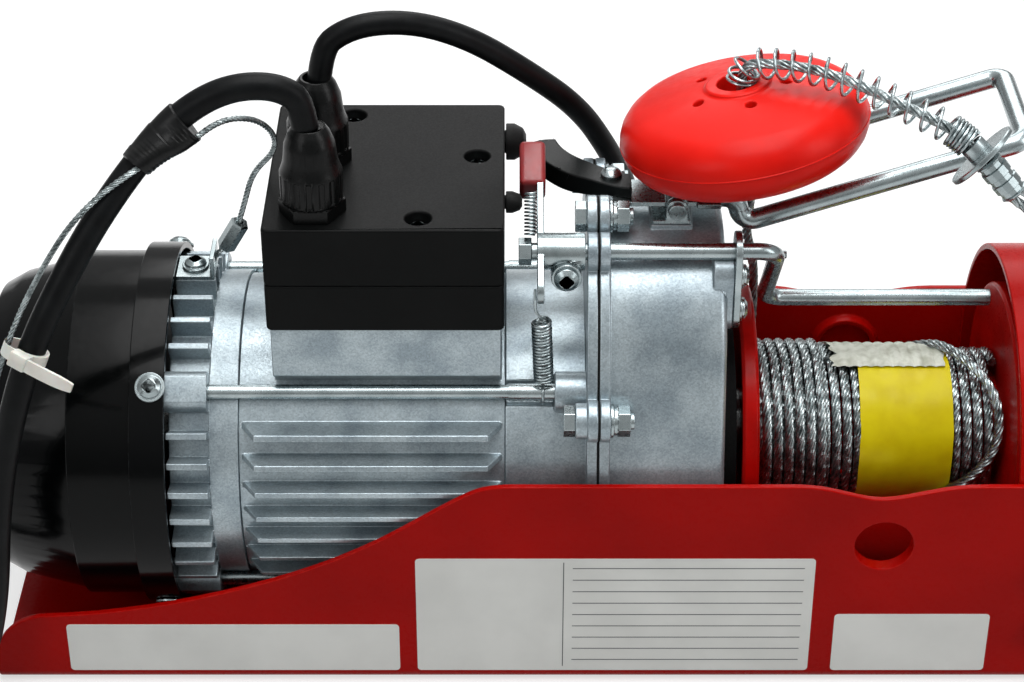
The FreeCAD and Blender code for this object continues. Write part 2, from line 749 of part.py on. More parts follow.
def make_cooling_fan():
    hub = ring(fan_x0, fan_x1, 12.0, shaft_r - 1.5)
    disc = ring(fan_x1 - 2, fan_x1, fan_r, 10.0)
    blades = []
    for i in range(9):
        blade = block(fan_x0 + 1, fan_x1 - 1, 10.0, fan_r, -0.9, 0.9)
        blade.rotate(V(0, 0, 0), V(1, 0, 0), 40.0 * i)
        blade.translate(V(0, 0, axis_z))
        blades.append(blade)
    return fuse([hub, disc] + blades)


def make_bearings():
    return Part.makeCompound([
        ring(bell_x0, bell_x0 + bearing_width, motor_bearing_r, shaft_r + 0.03),
        ring(-5.0, 4.0, motor_bearing_r, shaft_r + 0.03),
        ring(case_end_x - 5, case_end_x - 5 + drum_bearing_width, drum_bearing_r, drum_shaft_r + 0.03),
        ring(bracket_end_x, bracket_end_x + drum_bearing_width, drum_bearing_r, drum_shaft_r + 0.03)])


drum_gear_x1 = case_end_x - 8.0
drum_gear_x0 = drum_gear_x1 - 12.0


def make_layshaft_gear():
    big = gear_centres * lay_teeth / (pinion_teeth + lay_teeth)
    small = gear_centres * lay_pinion_teeth / (lay_pinion_teeth + drum_gear_teeth)
    wheel = gear(pinion_x0 + 0.5, pinion_x1 - 0.5, lay_teeth, big, lobe_z, -90 + 180 / lay_teeth)
    holes = [cyl(pinion_x0, pinion_x1, 4.0, *polar(19.0, 60.0 * i, lobe_z)) for i in range(6)]
    small_gear = gear(pinion_x1 - 0.6, case_end_x - 7.0, lay_pinion_teeth, small, lobe_z, -90)
    axle = turned([(flange_x0 - 3.7, 0), (flange_x0 - 3.7, lay_journal_r), (pinion_x0 - 2, lay_journal_r),
                   (pinion_x0 - 2, 8.0), (pinion_x0 + 0.5, 8.0), (pinion_x0 + 0.5, lay_journal_r),
                   (case_end_x - 1.8, lay_journal_r), (case_end_x - 1.8, 0)], 0, lobe_z)
    return fuse([wheel.cut(holes), small_gear, axle])


def make_drum_gear():
    pitch = gear_centres * drum_gear_teeth / (lay_pinion_teeth + drum_gear_teeth)
    wheel = gear(drum_gear_x0, drum_gear_x1, drum_gear_teeth, pitch, axis_z, 90 + 180 / drum_gear_teeth)
    faces = [ring(drum_gear_x0 - 1, drum_gear_x0 + 3, 24.0, 15.0),
             ring(drum_gear_x1 - 3, drum_gear_x1 + 1, 24.0, 15.0)]
    return wheel.cut(faces).cut(cyl(drum_gear_x0 - 1, drum_gear_x1 + 1, drum_shaft_r))


def make_drum_shaft():
    end = bracket_end_x + drum_bearing_width + 1
    shaft = turned([(drum_gear_x0 - 1, 0), (drum_gear_x0 - 1, drum_shaft_r), (end, drum_shaft_r), (end, 0)])
    return shaft


def make_drum_seal():
    return ring(case_end_x, case_end_x + 4.4, 38.0, seat_r + 0.2).cut(
        stadium(feeler_y + 0.5, feeler_z - 13.6, 26, 14, 90, case_end_x - 1, guide_x + 4))


def make_rope_drum():
    x0, x1, r, f = drum_x0, drum_x1, drum_flange_r, drum_flange
    hub, bore = drum_hub_r, drum_shaft_r
    tip = bracket_end_x - sheet - 1.5
    return turned([(x0 + 2.2, bore), (x0 + 2.2, hub + 4), (x0 + f - drum_web, hub + 8),
                   (x0 + f - drum_web, r - 3), (x0, r - 2.2), (x0, r - 0.8), (x0 + 0.8, r), (x0 + f - 0.8, r),
                   (x0 + f, r - 0.8), (x0 + f, hub),
                   (x1 - f, hub), (x1 - f, r - 0.8), (x1 - f + 0.8, r), (x1 - 0.8, r), (x1, r - 0.8),
                   (x1, r - 2.2), (x1 - f + drum_web, r - 3), (x1 - f + drum_web, hub + 4), (tip, hub), (tip, bore)])


def make_rope_winding():
    # full layers across the hub, with one part layer more beside the first flange
    x0, x1 = drum_x0 + drum_flange + 0.05, drum_x1 - drum_flange - 0.05
    turns = int((x1 - x0) / (rope_d + 0.2))
    pitch = (x1 - x0) / turns
    outline = [(x0, drum_hub_r)]
    for i in range(turns):
        middle = x0 + pitch * (i + 0.5)
        crest = rope_r if i < top_turns else rope_r - layer_pitch
        valley = crest - rope_d / 2 - 0.6
        if i in (0, top_turns):
            outline.append((middle - pitch * 0.5, valley))
        outline += [(middle - pitch * 0.3, crest - 0.35), (middle, crest),
                    (middle + pitch * 0.3, crest - 0.35), (middle + pitch * 0.5, valley)]
    return turned(outline + [(x1, drum_hub_r)])


def make_rope_tape():
    r = rope_r - layer_pitch
    return ring(tape_x0, tape_x1, r + 0.55, r + 0.05)


def shell_box(x0, x1, y0, y1, z0, z1, open_top, radius=2.0):
    outer = block(x0, x1, y0, y1, z0, z1)
    upright = [e for e in outer.Edges if abs(e.Length - (z1 - z0)) < 1e-6]
    outer = outer.makeFillet(radius, upright)
    w = box_wall
    low, high = (z0 + w, z1 + 1) if open_top else (z0 - 1, z1 - w)
    return outer.cut(block(x0 + w, x1 - w, y0 + w, y1 - w, low, high))


def make_box_base():
    half = box_depth / 2
    base = shell_box(box_x0, box_x1, -half, half, box_z0 + 0.02, box_seam, True)
    base = base.cut(post((box_x0 + box_x1) / 2, 0, box_z0 - 1, box_z0 + 5, 8))
    posts = [post(x, y, box_z0 + box_wall - 0.2, box_seam, 3.2) for x, y in lid_screws]
    return fuse([base] + posts).cut([post(x, y, box_z0 + 10, box_seam + 1, 1.4) for x, y in lid_screws])


def make_box_lid():
    half = box_depth / 2
    lid = shell_box(box_x0, box_x1, -half, half, box_seam + 0.02, box_z1, False)
    lid = fuse([lid] + [post(x, y, box_seam + 0.1, box_z1 - 1, 5.2) for x, y in lid_screws])
    for x, y in lid_screws:
        lid = lid.cut(post(x, y, box_z1 - 4.0, box_z1 + 1, 3.65)).cut(post(x, y, box_seam - 1, box_z1, 1.45))
    for y in (front_gland_y, rear_gland_y):
        lid = lid.cut(post(gland_x, y, box_z1 - 5, box_z1 + 1, 7.0))
    for (y, z), r in ((upper_button, upper_boot_r), (lower_button, lower_boot_r)):
        lid = lid.cut(cyl(box_x1 - 5, box_x1 + 1, r + 0.3, y, z))
    return lid


def make_gland(y, cable_d, height):
    # threaded tail, hexagon, ribbed compression nut and domed seal round the cable
    x, z = gland_x, box_z1
    nut = [(0, 4.0), (8.6, 4.0), (8.9, 5.0), (8.9, height * 0.48), (8.2, height * 0.55),
           (7.7, height * 0.62), (7.2, height * 0.8), (5.9, height * 0.93), (4.6, height), (0, height)]
    body = fuse([post(x, y, z - 5, z + 4.2, 6.9), hex_z(x, y, z, z + 4.0, 16.6),
                 spun(nut, V(x, y, z), V(0, 0, 1))])
    grooves = []
    for i in range(16):
        a = math.radians(22.5 * i)
        grooves.append(post(x + 9.5 * math.cos(a), y + 9.5 * math.sin(a), z + 5.2, z + height * 0.47, 1.05))
    return body.cut(grooves).cut(post(x, y, z - 6, z + height + 1, cable_d / 2 + 0.2))


def make_capacitor():
    return cross(-46.0, -24.8, 20.0, box_z0 + box_wall + 10.2, 10.0)


switch_x0 = box_x1 - box_wall - 13.0


def make_limit_switches():
    bodies = []
    for y, z in (upper_button, lower_button):
        body = block(switch_x0, box_x1 - box_wall - switch_gap, y - switch_half, y + switch_half,
                     z - 8.0, z + 4.0)
        bodies.append(body.cut(cyl(switch_x0 + 4, box_x1, 1.6, y, z)))
    return Part.makeCompound(bodies)


def make_button(y, z, r, reach):
    boot = turned([(box_x1 - 1.6, 0), (box_x1 - 1.6, r * 0.62), (box_x1 + 0.4, r * 0.62), (box_x1 + 0.4, r),
                   (box_x1 + reach * 0.45, r), (box_x1 + reach * 0.85, r * 0.75), (box_x1 + reach, r * 0.4),
                   (box_x1 + reach, 0)], y, z)
    plunger = cyl(switch_x0 + 7.0, box_x1, 1.5, y, z)
    return fuse([boot, plunger])


def make_feeler_rod():
    x0, x1 = lever_x - 5.2, 62.5
    path = [(x0, feeler_y, feeler_z), (x1, feeler_y, feeler_z), (x1, 8.0, 98.1), (131.3, 8.0, 98.1)]
    rod = tube(path, feeler_d, 6.0)
    return fuse([rod, hex_x(x0 - 0.1, x0 + 3.6, 7.0, feeler_y, feeler_z)])


def make_lever_plate():
    x0, x1 = lever_x, lever_x + lever_thick
    collar_x1 = flange_x0 - 0.6
    strip = stadium(feeler_y + 8.0, feeler_z + 3.7, 52.0, 8.0, tip_dir, x0, x1)
    body = fuse([strip, cyl(x0, collar_x1, 5.4, feeler_y, feeler_z),
                 cross(1.6, feeler_y - 7.5, feeler_y, feeler_z - 4.6, 4.4)])
    body = body.cut(cyl(x0 - 1, collar_x1 + 1, feeler_d / 2, feeler_y, feeler_z))
    body = body.cut(cross(1.6, feeler_y - 8.5, feeler_y - 3.4, feeler_z - 4.6, 1.75))
    return body.cut(cyl(x0 - 1, x1 + 1, 1.1, *lever_eye()))


def lever_eye():
    a = math.radians(tip_dir)
    return feeler_y - 13.6 * math.cos(a) + 0.3, feeler_z - 13.6 * math.sin(a)


def make_lever_tip():
    # plastic dip over the lever's end, with a flap that stands towards the switch
    a = tip_dir
    cy = feeler_y + 8.0 + 20.5 * math.cos(math.radians(a))
    cz = feeler_z + 3.7 + 20.5 * math.sin(math.radians(a))
    sleeve = stadium(cy, cz, 13.0, 10.0, a, lever_x - 0.9, lever_x + lever_thick + 0.9)
    flap = stadium(cy + 0.5, cz + 3.6, 12.0, 3.0, a, lever_x - 3.6, lever_x + 0.5)
    strip = stadium(feeler_y + 8.0, feeler_z + 3.7, 52.0, 8.0, tip_dir, lever_x, lever_x + lever_thick)
    return sleeve.fuse(flap).cut(strip)


def make_clamp_screw():
    return screw_head(V(1.6, feeler_y - 7.5, feeler_z - 4.6), V(0, -1, 0), 3.6, 2.2, 1.7, 4.0)


def coil_sleeve(start, end, r_out, r_in):
    axis = V(*end) - V(*start)
    outline = [(r_in, 0), (r_out, 0), (r_out, axis.Length), (r_in, axis.Length)]
    return spun(outline, V(*start), axis)


def make_lever_springs():
    eye_y, eye_z = lever_eye()
    rod_y, rod_z = polar(tie_rod_circle, 135)
    x = lever_x + lever_thick / 2
    low = (x + 1.0, rod_y - 0.4, rod_z + 4.4)
    high = (x + 0.2, eye_y - 1.2, eye_z - 9.5)
    coil = coil_sleeve(low, high, 3.2, 2.0)
    front = lever_x - 0.6
    wire_up = tube([(front, eye_y, eye_z + 0.3), (front, eye_y - 0.6, eye_z - 7.0),
                    (high[0], high[1] + 2.6, high[2])], 0.9, 2.0)
    through = cyl(front - 0.3, lever_x + lever_thick + 0.6, 0.45, eye_y, eye_z)
    hook_down = Part.makeTorus(tie_thread_d / 2 + 0.8, 0.45, V(low[0], rod_y, rod_z), V(1, 0, 0))
    return Part.makeCompound([fuse([coil, wire_up, through]), hook_down])


def make_guide_plate():
    plate = stadium(feeler_y, (feeler_z + 6 + feeler_z - 25) / 2, 31.0, 12.0, 90, guide_x, guide_x + 2)
    plate = plate.cut(cyl(guide_x - 1, guide_x + 3, feeler_d / 2 + 0.06, feeler_y, feeler_z))
    for z in guide_screws:
        plate = plate.cut(cyl(guide_x - 1, guide_x + 3, 1.8, feeler_y, z))
    return plate


def make_guide_fasteners():
    parts = [screw_head(V(guide_x + 2, feeler_y, z), V(1, 0, 0), 3.2, 1.7, 1.6, 5.5, 3.8)
             for z in guide_screws]
    parts.append(cyl(case_end_x - 1.9, 68.4, pin_d / 2, pin_y, pin_z))
    return Part.makeCompound(parts)


rope_turn_h = disc_hub_h + 5.2
seat_z = lobe_z + top_lobe_r + 0.5
strip_z = hinge_z - 1.1


def make_swing_arm():
    # bent round bar with its ends welded to a flat hinged strip
    rise = (52.5, 128.7)
    x1, z1 = 134.5, 156.6
    bar = tube([(44, arm_front_y, hinge_z), (rise[0], arm_front_y, hinge_z), (rise[0], arm_front_y, rise[1]),
                (x1, arm_front_y, z1), (x1, arm_rear_y, z1), (rise[0], arm_rear_y, rise[1]),
                (rise[0], arm_rear_y, hinge_z), (44, arm_rear_y, hinge_z)], arm_d, 4.4)
    strip = block(15.5, 47, -4.0, 9.5, strip_z, strip_z + 1.6)
    tie = block(40, 47, -5.5, arm_rear_y + 3, strip_z, strip_z + 1.6)
    barrel = cross(hinge_x, -5.5, 9.5, hinge_z, 3.2)
    arm = fuse([bar, strip, tie, barrel])
    return arm.cut(cross(hinge_x, -7, 11, hinge_z, hinge_pin_d / 2 + 0.05))


def make_rocker_arm():
    # moulded arm on top of the strip, curved in plan and arched where it reaches the upper switch
    low, flat = strip_z + 1.7, strip_z + 6.2

    def curve(points):
        spline = Part.BSplineCurve()
        spline.interpolate(Points=points)
        return spline.toShape()

    plan = [curve([V(21, -2.5, low), V(9, 3.5, low), V(-1.5, 12.5, low), V(-8.4, 24.0, low)]),
            Part.LineSegment(V(-8.4, 24.0, low), V(-8.4, 30.0, low)).toShape(),
            Part.LineSegment(V(-8.4, 30.0, low), V(-0.8, 30.0, low)).toShape(),
            curve([V(-0.8, 30.0, low), V(4, 20, low), V(12, 12, low), V(21, 6.5, low)]),
            Part.LineSegment(V(21, 6.5, low), V(21, -2.5, low)).toShape()]
    body = Part.Face(Part.Wire(plan)).extrude(V(0, 0, 15))
    arch = [curve([V(24, -5, flat), V(13, -5, flat + 0.6), V(2, -5, flat + 6.4), V(-10, -5, flat + 3.6)]),
            Part.LineSegment(V(-10, -5, flat + 3.6), V(-10, -5, low - 1)).toShape(),
            Part.LineSegment(V(-10, -5, low - 1), V(24, -5, low - 1)).toShape(),
            Part.LineSegment(V(24, -5, low - 1), V(24, -5, flat)).toShape()]
    return body.common(Part.Face(Part.Wire(arch)).extrude(V(0, 40, 0)))


def make_rocker_bracket():
    y0, y1 = -8.0, 12.0
    base = block(hinge_x - 7, hinge_x + 4, y0, y1, seat_z, seat_z + 1.2)
    ears = []
    for y in (y0, y1 - 1.6):
        ears.append(block(hinge_x - 3.2, hinge_x + 3.2, y, y + 1.6, seat_z, hinge_z))
        ears.append(cross(hinge_x, y, y + 1.6, hinge_z, 3.2))
    pin = cross(hinge_x, y0 - 0.8, y1 + 0.8, hinge_z, hinge_pin_d / 2)
    heads = [cross(hinge_x, y0 - 1.6, y0, hinge_z, 2.6), cross(hinge_x, y1, y1 + 1.6, hinge_z, 2.6)]
    return fuse([base, pin] + ears + heads)


def make_stopper_disc():
    r, t, h = disc_r, disc_rim, disc_hub_h
    rim = [(r - t + t * math.cos(math.radians(a)), t * math.sin(math.radians(a))) for a in range(-75, 76, 15)]
    bore = rope_d / 2 + 0.3
    outline = [(bore, -6.0), (6.0, -6.0), (6.0, -h), (9.3, -h), (10.0, -h + 1.0)] + rim
    outline += [(10.0, h - 1.0), (9.3, h), (6.0, h), (6.0, 6.0), (bore, 6.0)]
    disc = spun(outline, V(0, 0, 0), V(0, 0, 1))
    holes = []
    for i in range(5):
        a = math.radians(72 * i + 65)
        holes.append(post(13.8 * math.cos(a), 13.8 * math.sin(a), h - 6, h + 2, 1.5))
    return aimed(disc.cut(holes), disc_centre, disc_axis)


def on_disc_axis(h):
    p = disc_centre + disc_axis * h
    return (p.x, p.y, p.z)


rope_route = [(61.5, rope_r + rope_d / 2 + run_gap, axis_z + 8), (61.6, 26.6, 86), (60.2, 21.5, 104),
              (56.4, 14.5, 118), (56.8, 8.5, 130), on_disc_axis(-15), on_disc_axis(rope_turn_h), (61, 2.9, 180.2),
              (74, -3, 180.8), (88.5, -9.5, 177.2), (101, -15, 173.4), (111.5, -20, 169.6), (118.5, -23.2, 163.5)]
hook_ring_z = (eye_bottom_z + eye_half - thimble_r + 0.25
               - math.sqrt((hook_ring_r - hook_wire_r) ** 2 - thimble_half ** 2))
latch_y = eye_y - 6.3


def make_rope_tail():
    return tube(rope_route, rope_d, None, "rope_tail")


def make_stopper_spring():
    # outer form of the tapered coil on the rope, its close turns and the washer that stops it
    end = V(*rope_route[-1])
    back = V(*rope_route[-2])
    direction = (end - back).normalize()
    close = end - direction * 6.1
    loose = [on_disc_axis(disc_hub_h + 0.1), on_disc_axis(rope_turn_h)] + rope_route[7:-1]
    loose.append((close.x, close.y, close.z))
    spring = tube(loose, spring_d, spring_bend).cut(tube(loose, spring_d - 2.4, spring_bend))
    bore = rope_d / 2 + 0.3
    washer = spun([(bore, 0), (11.0, 0), (11.0, 1.5), (bore, 1.5)], end - direction * 2.2, direction)
    sleeve = spun([(bore, 0), (3.7, 0), (3.7, 3.6), (bore, 3.6)], end - direction * 6.0, direction)
    return Part.makeCompound([spring, sleeve, washer])


def make_rope_eye():
    # crimped ferrule, the doubled rope that leaves it and the thimble in the eye
    start, end = V(*rope_route[-1]), V(*ferrule_end)
    axis = end - start
    run = axis.Length - 0.4
    ferrule = spun([(0, 0), (3.6, 0), (4.2, 0.8), (4.2, run - 0.8), (3.6, run), (0, run)],
                   start + axis.normalize() * 0.4, axis)
    x0, x1 = eye_x - eye_half, eye_x + eye_half
    low = eye_bottom_z
    loop = tube([(end.x + 0.9, end.y, end.z + 1.4), (152, -27.5, 143), (176, -29, 137.5), (x1, eye_y, 127),
                 (x1, eye_y, low), (x0, eye_y, low), (x0, eye_y, 121), (150, -27.5, 135),
                 (end.x - 0.9, end.y, end.z - 1.4)], rope_d, 8.9)
    middle = low + eye_half
    thimble = cross(eye_x, eye_y - thimble_half, eye_y + thimble_half, middle, eye_half - rope_d / 2 - 0.1)
    thimble = thimble.cut(cross(eye_x, eye_y - 3, eye_y + 3, middle, thimble_r))
    return Part.makeCompound([ferrule, loop, thimble])


def make_load_hook():
    x, y = eye_x, eye_y
    eye = Part.makeTorus(hook_ring_r, hook_wire_r, V(x, y, hook_ring_z), V(1, 0, 0))
    top = hook_ring_z - hook_ring_r
    body = tube([(x, y, top), (x, y, 86), (x, y + 15, 75), (x, y + 14, 55), (x, y - 5, 47), (x, y - 17, 58),
                 (x, y - 15, 69)], 7.0, 7.5)
    ears = []
    for ear_x in (x - 4.4, x + 3.2):
        ears.append(stadium(y - 3.2, latch_z, 11.4, 5.0, 0, ear_x, ear_x + 1.2))
    pin = cyl(x - 5.2, x + 5.2, 1.0, latch_y, latch_z)
    return fuse([eye, body, pin] + ears)


def make_hook_latch():
    x = eye_x
    y1, z1 = eye_y - 10.4, 68.5
    run = math.hypot(y1 - latch_y, z1 - latch_z)
    tilt = math.degrees(math.atan2(z1 - latch_z, y1 - latch_y))
    strip = block(0, 5.0, 0, run, -0.8, 0.8)
    strip.rotate(V(0, 0, 0), V(1, 0, 0), tilt)
    strip.translate(V(x - 2.5, latch_y, latch_z))
    latch = fuse([strip, cyl(x - 2.9, x + 2.9, 2.1, latch_y, latch_z)])
    return latch.cut(cyl(x - 5, x + 5, 1.05, latch_y, latch_z))


tab_z = axis_z + fin_tip_r + 0.05


def make_anchor_tab():
    plate = block(tab_x0, tab_x1, tab_y - 6, tab_y + 6, tab_z, tab_z + 1.3)
    upright = block(tab_x1 - 1.3, tab_x1, tab_y - 6, tab_y + 6, tab_z, tab_z + 7.5)
    plate = plate.fuse(upright).removeSplitter()
    screw = screw_head(V(tab_screw_x, tab_y, tab_z + 1.3), V(0, 0, 1), 3.2, 1.8, 1.6, 6.0, 4.0)
    plate = plate.cut([post(tab_screw_x, tab_y, tab_z - 1, tab_z + 2, 1.7),
                       cyl(tab_x1 - 3, tab_x1 + 1, 2.3, tab_y, tab_z + 4.2)])
    return Part.makeCompound([plate, screw])


wire_route = [(tab_x1 - 1.65, tab_y, tab_z + 3.2), (-97.0, 4.0, 121.0), (-92.8, 1.5, 134.5), (-89.5, -1.5, 147.0),
              (-82.0, -5.0, 156.0), (-81.5, -11.5, 166.0), (-86.5, -19.0, 174.5), (-95.0, -26.0, 177.4),
              (-104.0, -36.5, 174.0), (-113.0, -40.8, 173.0), (-131.9, -48.2, 161.4), (-144.2, -55.8, 144.2),
              (-153.2, -61.0, 126.4), (-161.4, -64.5, 101.8), (-167.3, -66.0, 72.6), (-170.2, -67.5, 44.6),
              (-176.0, -69.5, 23.5), (-187.0, -70.3, 12.2), (-201.0, -68.5, 9.7)]
pendant_route = [(gland_x, front_gland_y, box_z1 + 2), (gland_x, front_gland_y, 181.5),
                 (-77.5, -27.0, 188.5), (-91.0, -28.5, 189.0), (-104.0, -29.5, 182.0), (-115.5, -34.0, 171.0),
                 (-128.0, -46.0, 157.0), (-138.5, -55.5, 140.5), (-147.0, -61.0, 124.0), (-155.0, -64.5, 100.0),
                 (-161.0, -66.0, 72.0), (-164.0, -67.5, 44.0), (-170.0, -69.0, 20.0), (-183.0, -69.5, 6.4),
                 (-199.0, -67.5, 3.95), (-219.0, -62.5, 3.95), (-241.1, -57.6, 3.95)]
mains_route = [(gland_x, rear_gland_y, box_z1 + 2), (gland_x, rear_gland_y, 183.0), (-60.0, 4.6, 191.0),
               (-43.5, 8.0, 191.0), (-27.0, 13.0, 183.5), (-11.0, 19.5, 170.0), (6.0, 29.5, 152.0),
               (16.0, 38.0, 132.0), (22.5, 50.0, 112.0), (26.5, 60.0, 90.0), (28.2, 63.0, 66.0),
               (28.8, 63.0, 44.0), (29.2, 66.8, 22.0), (29.0, 80.0, 5.4), (27.8, 98.0, 3.6)]


def coil_ring(centre, middle_r, wide, high):
    # outer form of a wound coil lying flat
    x, y = centre
    r0, r1, c = middle_r - wide / 2, middle_r + wide / 2, min(wide, high) * 0.3
    return spun([(r0, c), (r0 + c, 0), (r1 - c, 0), (r1, c), (r1, high - c), (r1 - c, high), (r0 + c, high),
                 (r0, high - c)], V(x, y, 0.02), V(0, 0, 1))


def make_pendant_cable():
    lead = tube(pendant_route, pendant_d, None, "pendant_cable")
    tail = tube([(-281.0, 30.5, 4.1), (-277.0, 47.0, 4.3), (-268.0, 62.0, 4.5), (-255.0, 73.0, 7.5),
                 (-243.0, 78.5, 12.5), (-233.5, handset_y, handset_bore_z),
                 (handset_x0 - 3, handset_y, handset_bore_z)], pendant_d, None, "pendant_tail")
    return Part.makeCompound([lead, tail])


def make_support_wire():
    return tube(wire_route, wire_d, None, "support_wire")


def make_mains_lead():
    lead = tube(mains_route, mains_d, None, "mains_lead")
    tail = tube([(-57.0, 117.9, 3.9), (-66.5, 122.2, 3.9), (-76.0, 123.4, 4.6), (-84.0, plug_y, 8.5),
                 (-90.0, plug_y, 15.0), (-95.5, plug_y, plug_r + 0.05), (-111.0, plug_y, plug_r + 0.05)], mains_d, None, "mains_tail")
    return Part.makeCompound([lead, tail])


def make_mains_plug():
    # round two-pin body lying on its side, with the strain relief towards the lead
    y, z = plug_y, plug_r + 0.05
    body = turned([(plug_x, 0), (plug_x, 5.0), (plug_x - 12, 7.5), (plug_x - 18, plug_r - 4), (plug_x - 26, plug_r),
                   (plug_x - 46, plug_r), (plug_x - 46, 0)], y, z)
    pins = [cyl(plug_x - 65, plug_x - 45, 2.4, y, z + k * 9.5) for k in (-1, 1)]
    return fuse([body] + pins).cut(cyl(plug_x - 12, plug_x + 1, mains_d / 2 + 0.2, y, z))


def make_handset_shell():
    y0, y1 = handset_y - handset_w / 2, handset_y + handset_w / 2
    mouth = handset_x0 - relief_len
    body = block(handset_x0, handset_x0 + handset_len, y0, y1, 0.02, handset_h)
    body = body.makeFillet(6.0, [e for e in body.Edges if abs(e.CenterOfMass.z - handset_h / 2) < 1])
    body = body.makeFillet(2.5, [e for e in body.Edges if abs(e.CenterOfMass.z - handset_h) < 0.5])
    relief = turned([(mouth, 0), (mouth, 5.4), (handset_x0 + 0.5, 7.4), (handset_x0 + 0.5, 0)],
                    handset_y, handset_bore_z)
    bore = cyl(mouth - 1, handset_x0 - 0.5, pendant_d / 2 + 0.2, handset_y, handset_bore_z)
    body = fuse([body, relief]).cut(bore)
    for x, r, depth in handset_wells():
        body = body.cut(post(x, handset_y, handset_h - depth, handset_h + 1, r))
    return body


def handset_wells():
    return [(handset_x0 + 24, 8.4, 8.0), (handset_x0 + 50, 8.4, 8.0), (handset_x0 + 84, 6.4, 9.0)]


def make_push_button(index):
    x, r, depth = handset_wells()[index]
    floor = handset_h - depth
    return spun([(0, 3.4), (r - 0.35, 3.4), (r - 0.35, depth + 1.2), (r - 1.2, depth + 2.2), (0, depth + 2.6)],
                V(x, handset_y, floor), V(0, 0, 1))


def make_stop_button():
    x, r, depth = handset_wells()[2]
    floor = handset_h - depth
    return spun([(0, 4.6), (r - 0.3, 4.6), (r - 0.3, depth + 5.0), (11.5, depth + 5.0), (12.5, depth + 6.5),
                 (11.8, depth + 9.5), (8.0, depth + 11.6), (0, depth + 12.2)], V(x, handset_y, floor), V(0, 0, 1))


sub_parts = {}


def add(name, shape):
    sub_parts[name] = shape


add("base_frame", make_base_frame())
add("drum_end_bracket", make_drum_end_bracket())
add("frame_bolts", make_frame_bolts())
add("motor_housing", make_motor_housing())
add("rear_end_bell", make_rear_end_bell())
add("fan_cover", make_fan_cover())
add("cover_screws", make_cover_screws())
add("tie_rods", make_tie_rods())
add("front_shield", make_front_shield())
add("case_gasket", make_case_gasket())
add("gear_case", make_gear_case())
add("case_bolts", make_case_bolts())
add("stator_core", make_stator_core())
add("stator_windings", make_stator_windings())
add("rotor_core", make_rotor_core())
add("motor_shaft", make_motor_shaft())
add("cooling_fan", make_cooling_fan())
add("bearings", make_bearings())
add("layshaft_gear", make_layshaft_gear())
add("drum_gear", make_drum_gear())
add("drum_shaft", make_drum_shaft())
add("drum_seal", make_drum_seal())
add("rope_drum", make_rope_drum())
add("rope_winding", make_rope_winding())
add("rope_tape", make_rope_tape())
add("box_base", make_box_base())
add("box_lid", make_box_lid())
add("front_gland", make_gland(front_gland_y, pendant_d, gland_height))
add("rear_gland", make_gland(rear_gland_y, mains_d, gland_height))
add("capacitor", make_capacitor())
add("limit_switches", make_limit_switches())
add("upper_switch_button", make_button(*upper_button, upper_boot_r, 6.5))
add("lower_switch_button", make_button(*lower_button, lower_boot_r, 5.2))
add("feeler_rod", make_feeler_rod())
add("lever_plate", make_lever_plate())
add("lever_tip", make_lever_tip())
add("clamp_screw", make_clamp_screw())
add("lever_springs", make_lever_springs())
add("guide_plate", make_guide_plate())
add("guide_fasteners", make_guide_fasteners())
add("swing_arm", make_swing_arm())
add("rocker_arm", make_rocker_arm())
add("rocker_bracket", make_rocker_bracket())
add("anchor_tab", make_anchor_tab())
add("support_wire", make_support_wire())
add("stopper_disc", make_stopper_disc())
add("stopper_spring", make_stopper_spring())
add("rope_tail", make_rope_tail())
add("rope_eye", make_rope_eye())
add("load_hook", make_load_hook())
add("hook_latch", make_hook_latch())
add("mains_lead", make_mains_lead())
add("mains_coil", coil_ring(mains_coil_centre, mains_coil_r, mains_coil_wide, mains_coil_high))
add("mains_plug", make_mains_plug())
add("pendant_cable", make_pendant_cable())
add("pendant_coil", coil_ring(pendant_coil_centre, pendant_coil_r, pendant_coil_wide, pendant_coil_high))
add("handset_shell", make_handset_shell())
add("up_button", make_push_button(0))
add("down_button", make_push_button(1))
add("stop_button", make_stop_button())

for name, shape in sub_parts.items():
    shape.exportStep("parts/" + name + ".step")
    print(name, shape.ShapeType, "solids", len(shape.Solids), "valid", shape.isValid(),
          "volume", round(shape.Volume))
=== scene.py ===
import json
import math
import bmesh
import bpy
from mathutils import Matrix, Vector, noise


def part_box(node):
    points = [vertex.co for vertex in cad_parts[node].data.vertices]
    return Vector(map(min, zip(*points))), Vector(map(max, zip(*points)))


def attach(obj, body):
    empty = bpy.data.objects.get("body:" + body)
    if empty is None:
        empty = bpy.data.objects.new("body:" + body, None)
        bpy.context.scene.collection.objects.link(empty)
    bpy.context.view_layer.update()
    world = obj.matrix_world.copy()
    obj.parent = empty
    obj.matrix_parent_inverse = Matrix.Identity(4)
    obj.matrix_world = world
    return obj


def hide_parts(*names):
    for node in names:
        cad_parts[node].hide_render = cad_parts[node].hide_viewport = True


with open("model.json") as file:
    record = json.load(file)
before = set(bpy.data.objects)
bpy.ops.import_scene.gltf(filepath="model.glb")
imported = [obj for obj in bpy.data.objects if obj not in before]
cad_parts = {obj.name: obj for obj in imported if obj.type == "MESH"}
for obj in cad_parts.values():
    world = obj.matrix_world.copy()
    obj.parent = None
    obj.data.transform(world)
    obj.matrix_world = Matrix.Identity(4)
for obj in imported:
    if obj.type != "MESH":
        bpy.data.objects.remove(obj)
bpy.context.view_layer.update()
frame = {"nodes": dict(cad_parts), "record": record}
scene = bpy.context.scene
nodes = frame["nodes"]
bodyOf = {n: body for body, members in frame["record"]["behaviour"]["bodies"].items() for n in members}
slotOf = {part["node"]: part["material_slot"] for part in frame["record"]["subparts"]}
mm = 0.001  # Blender counts in metres, and the sizes below are mostly millimetres
axisZ = 57.8  # height of the motor and drum axis, mm
print("frame loaded:", len(nodes), "nodes")

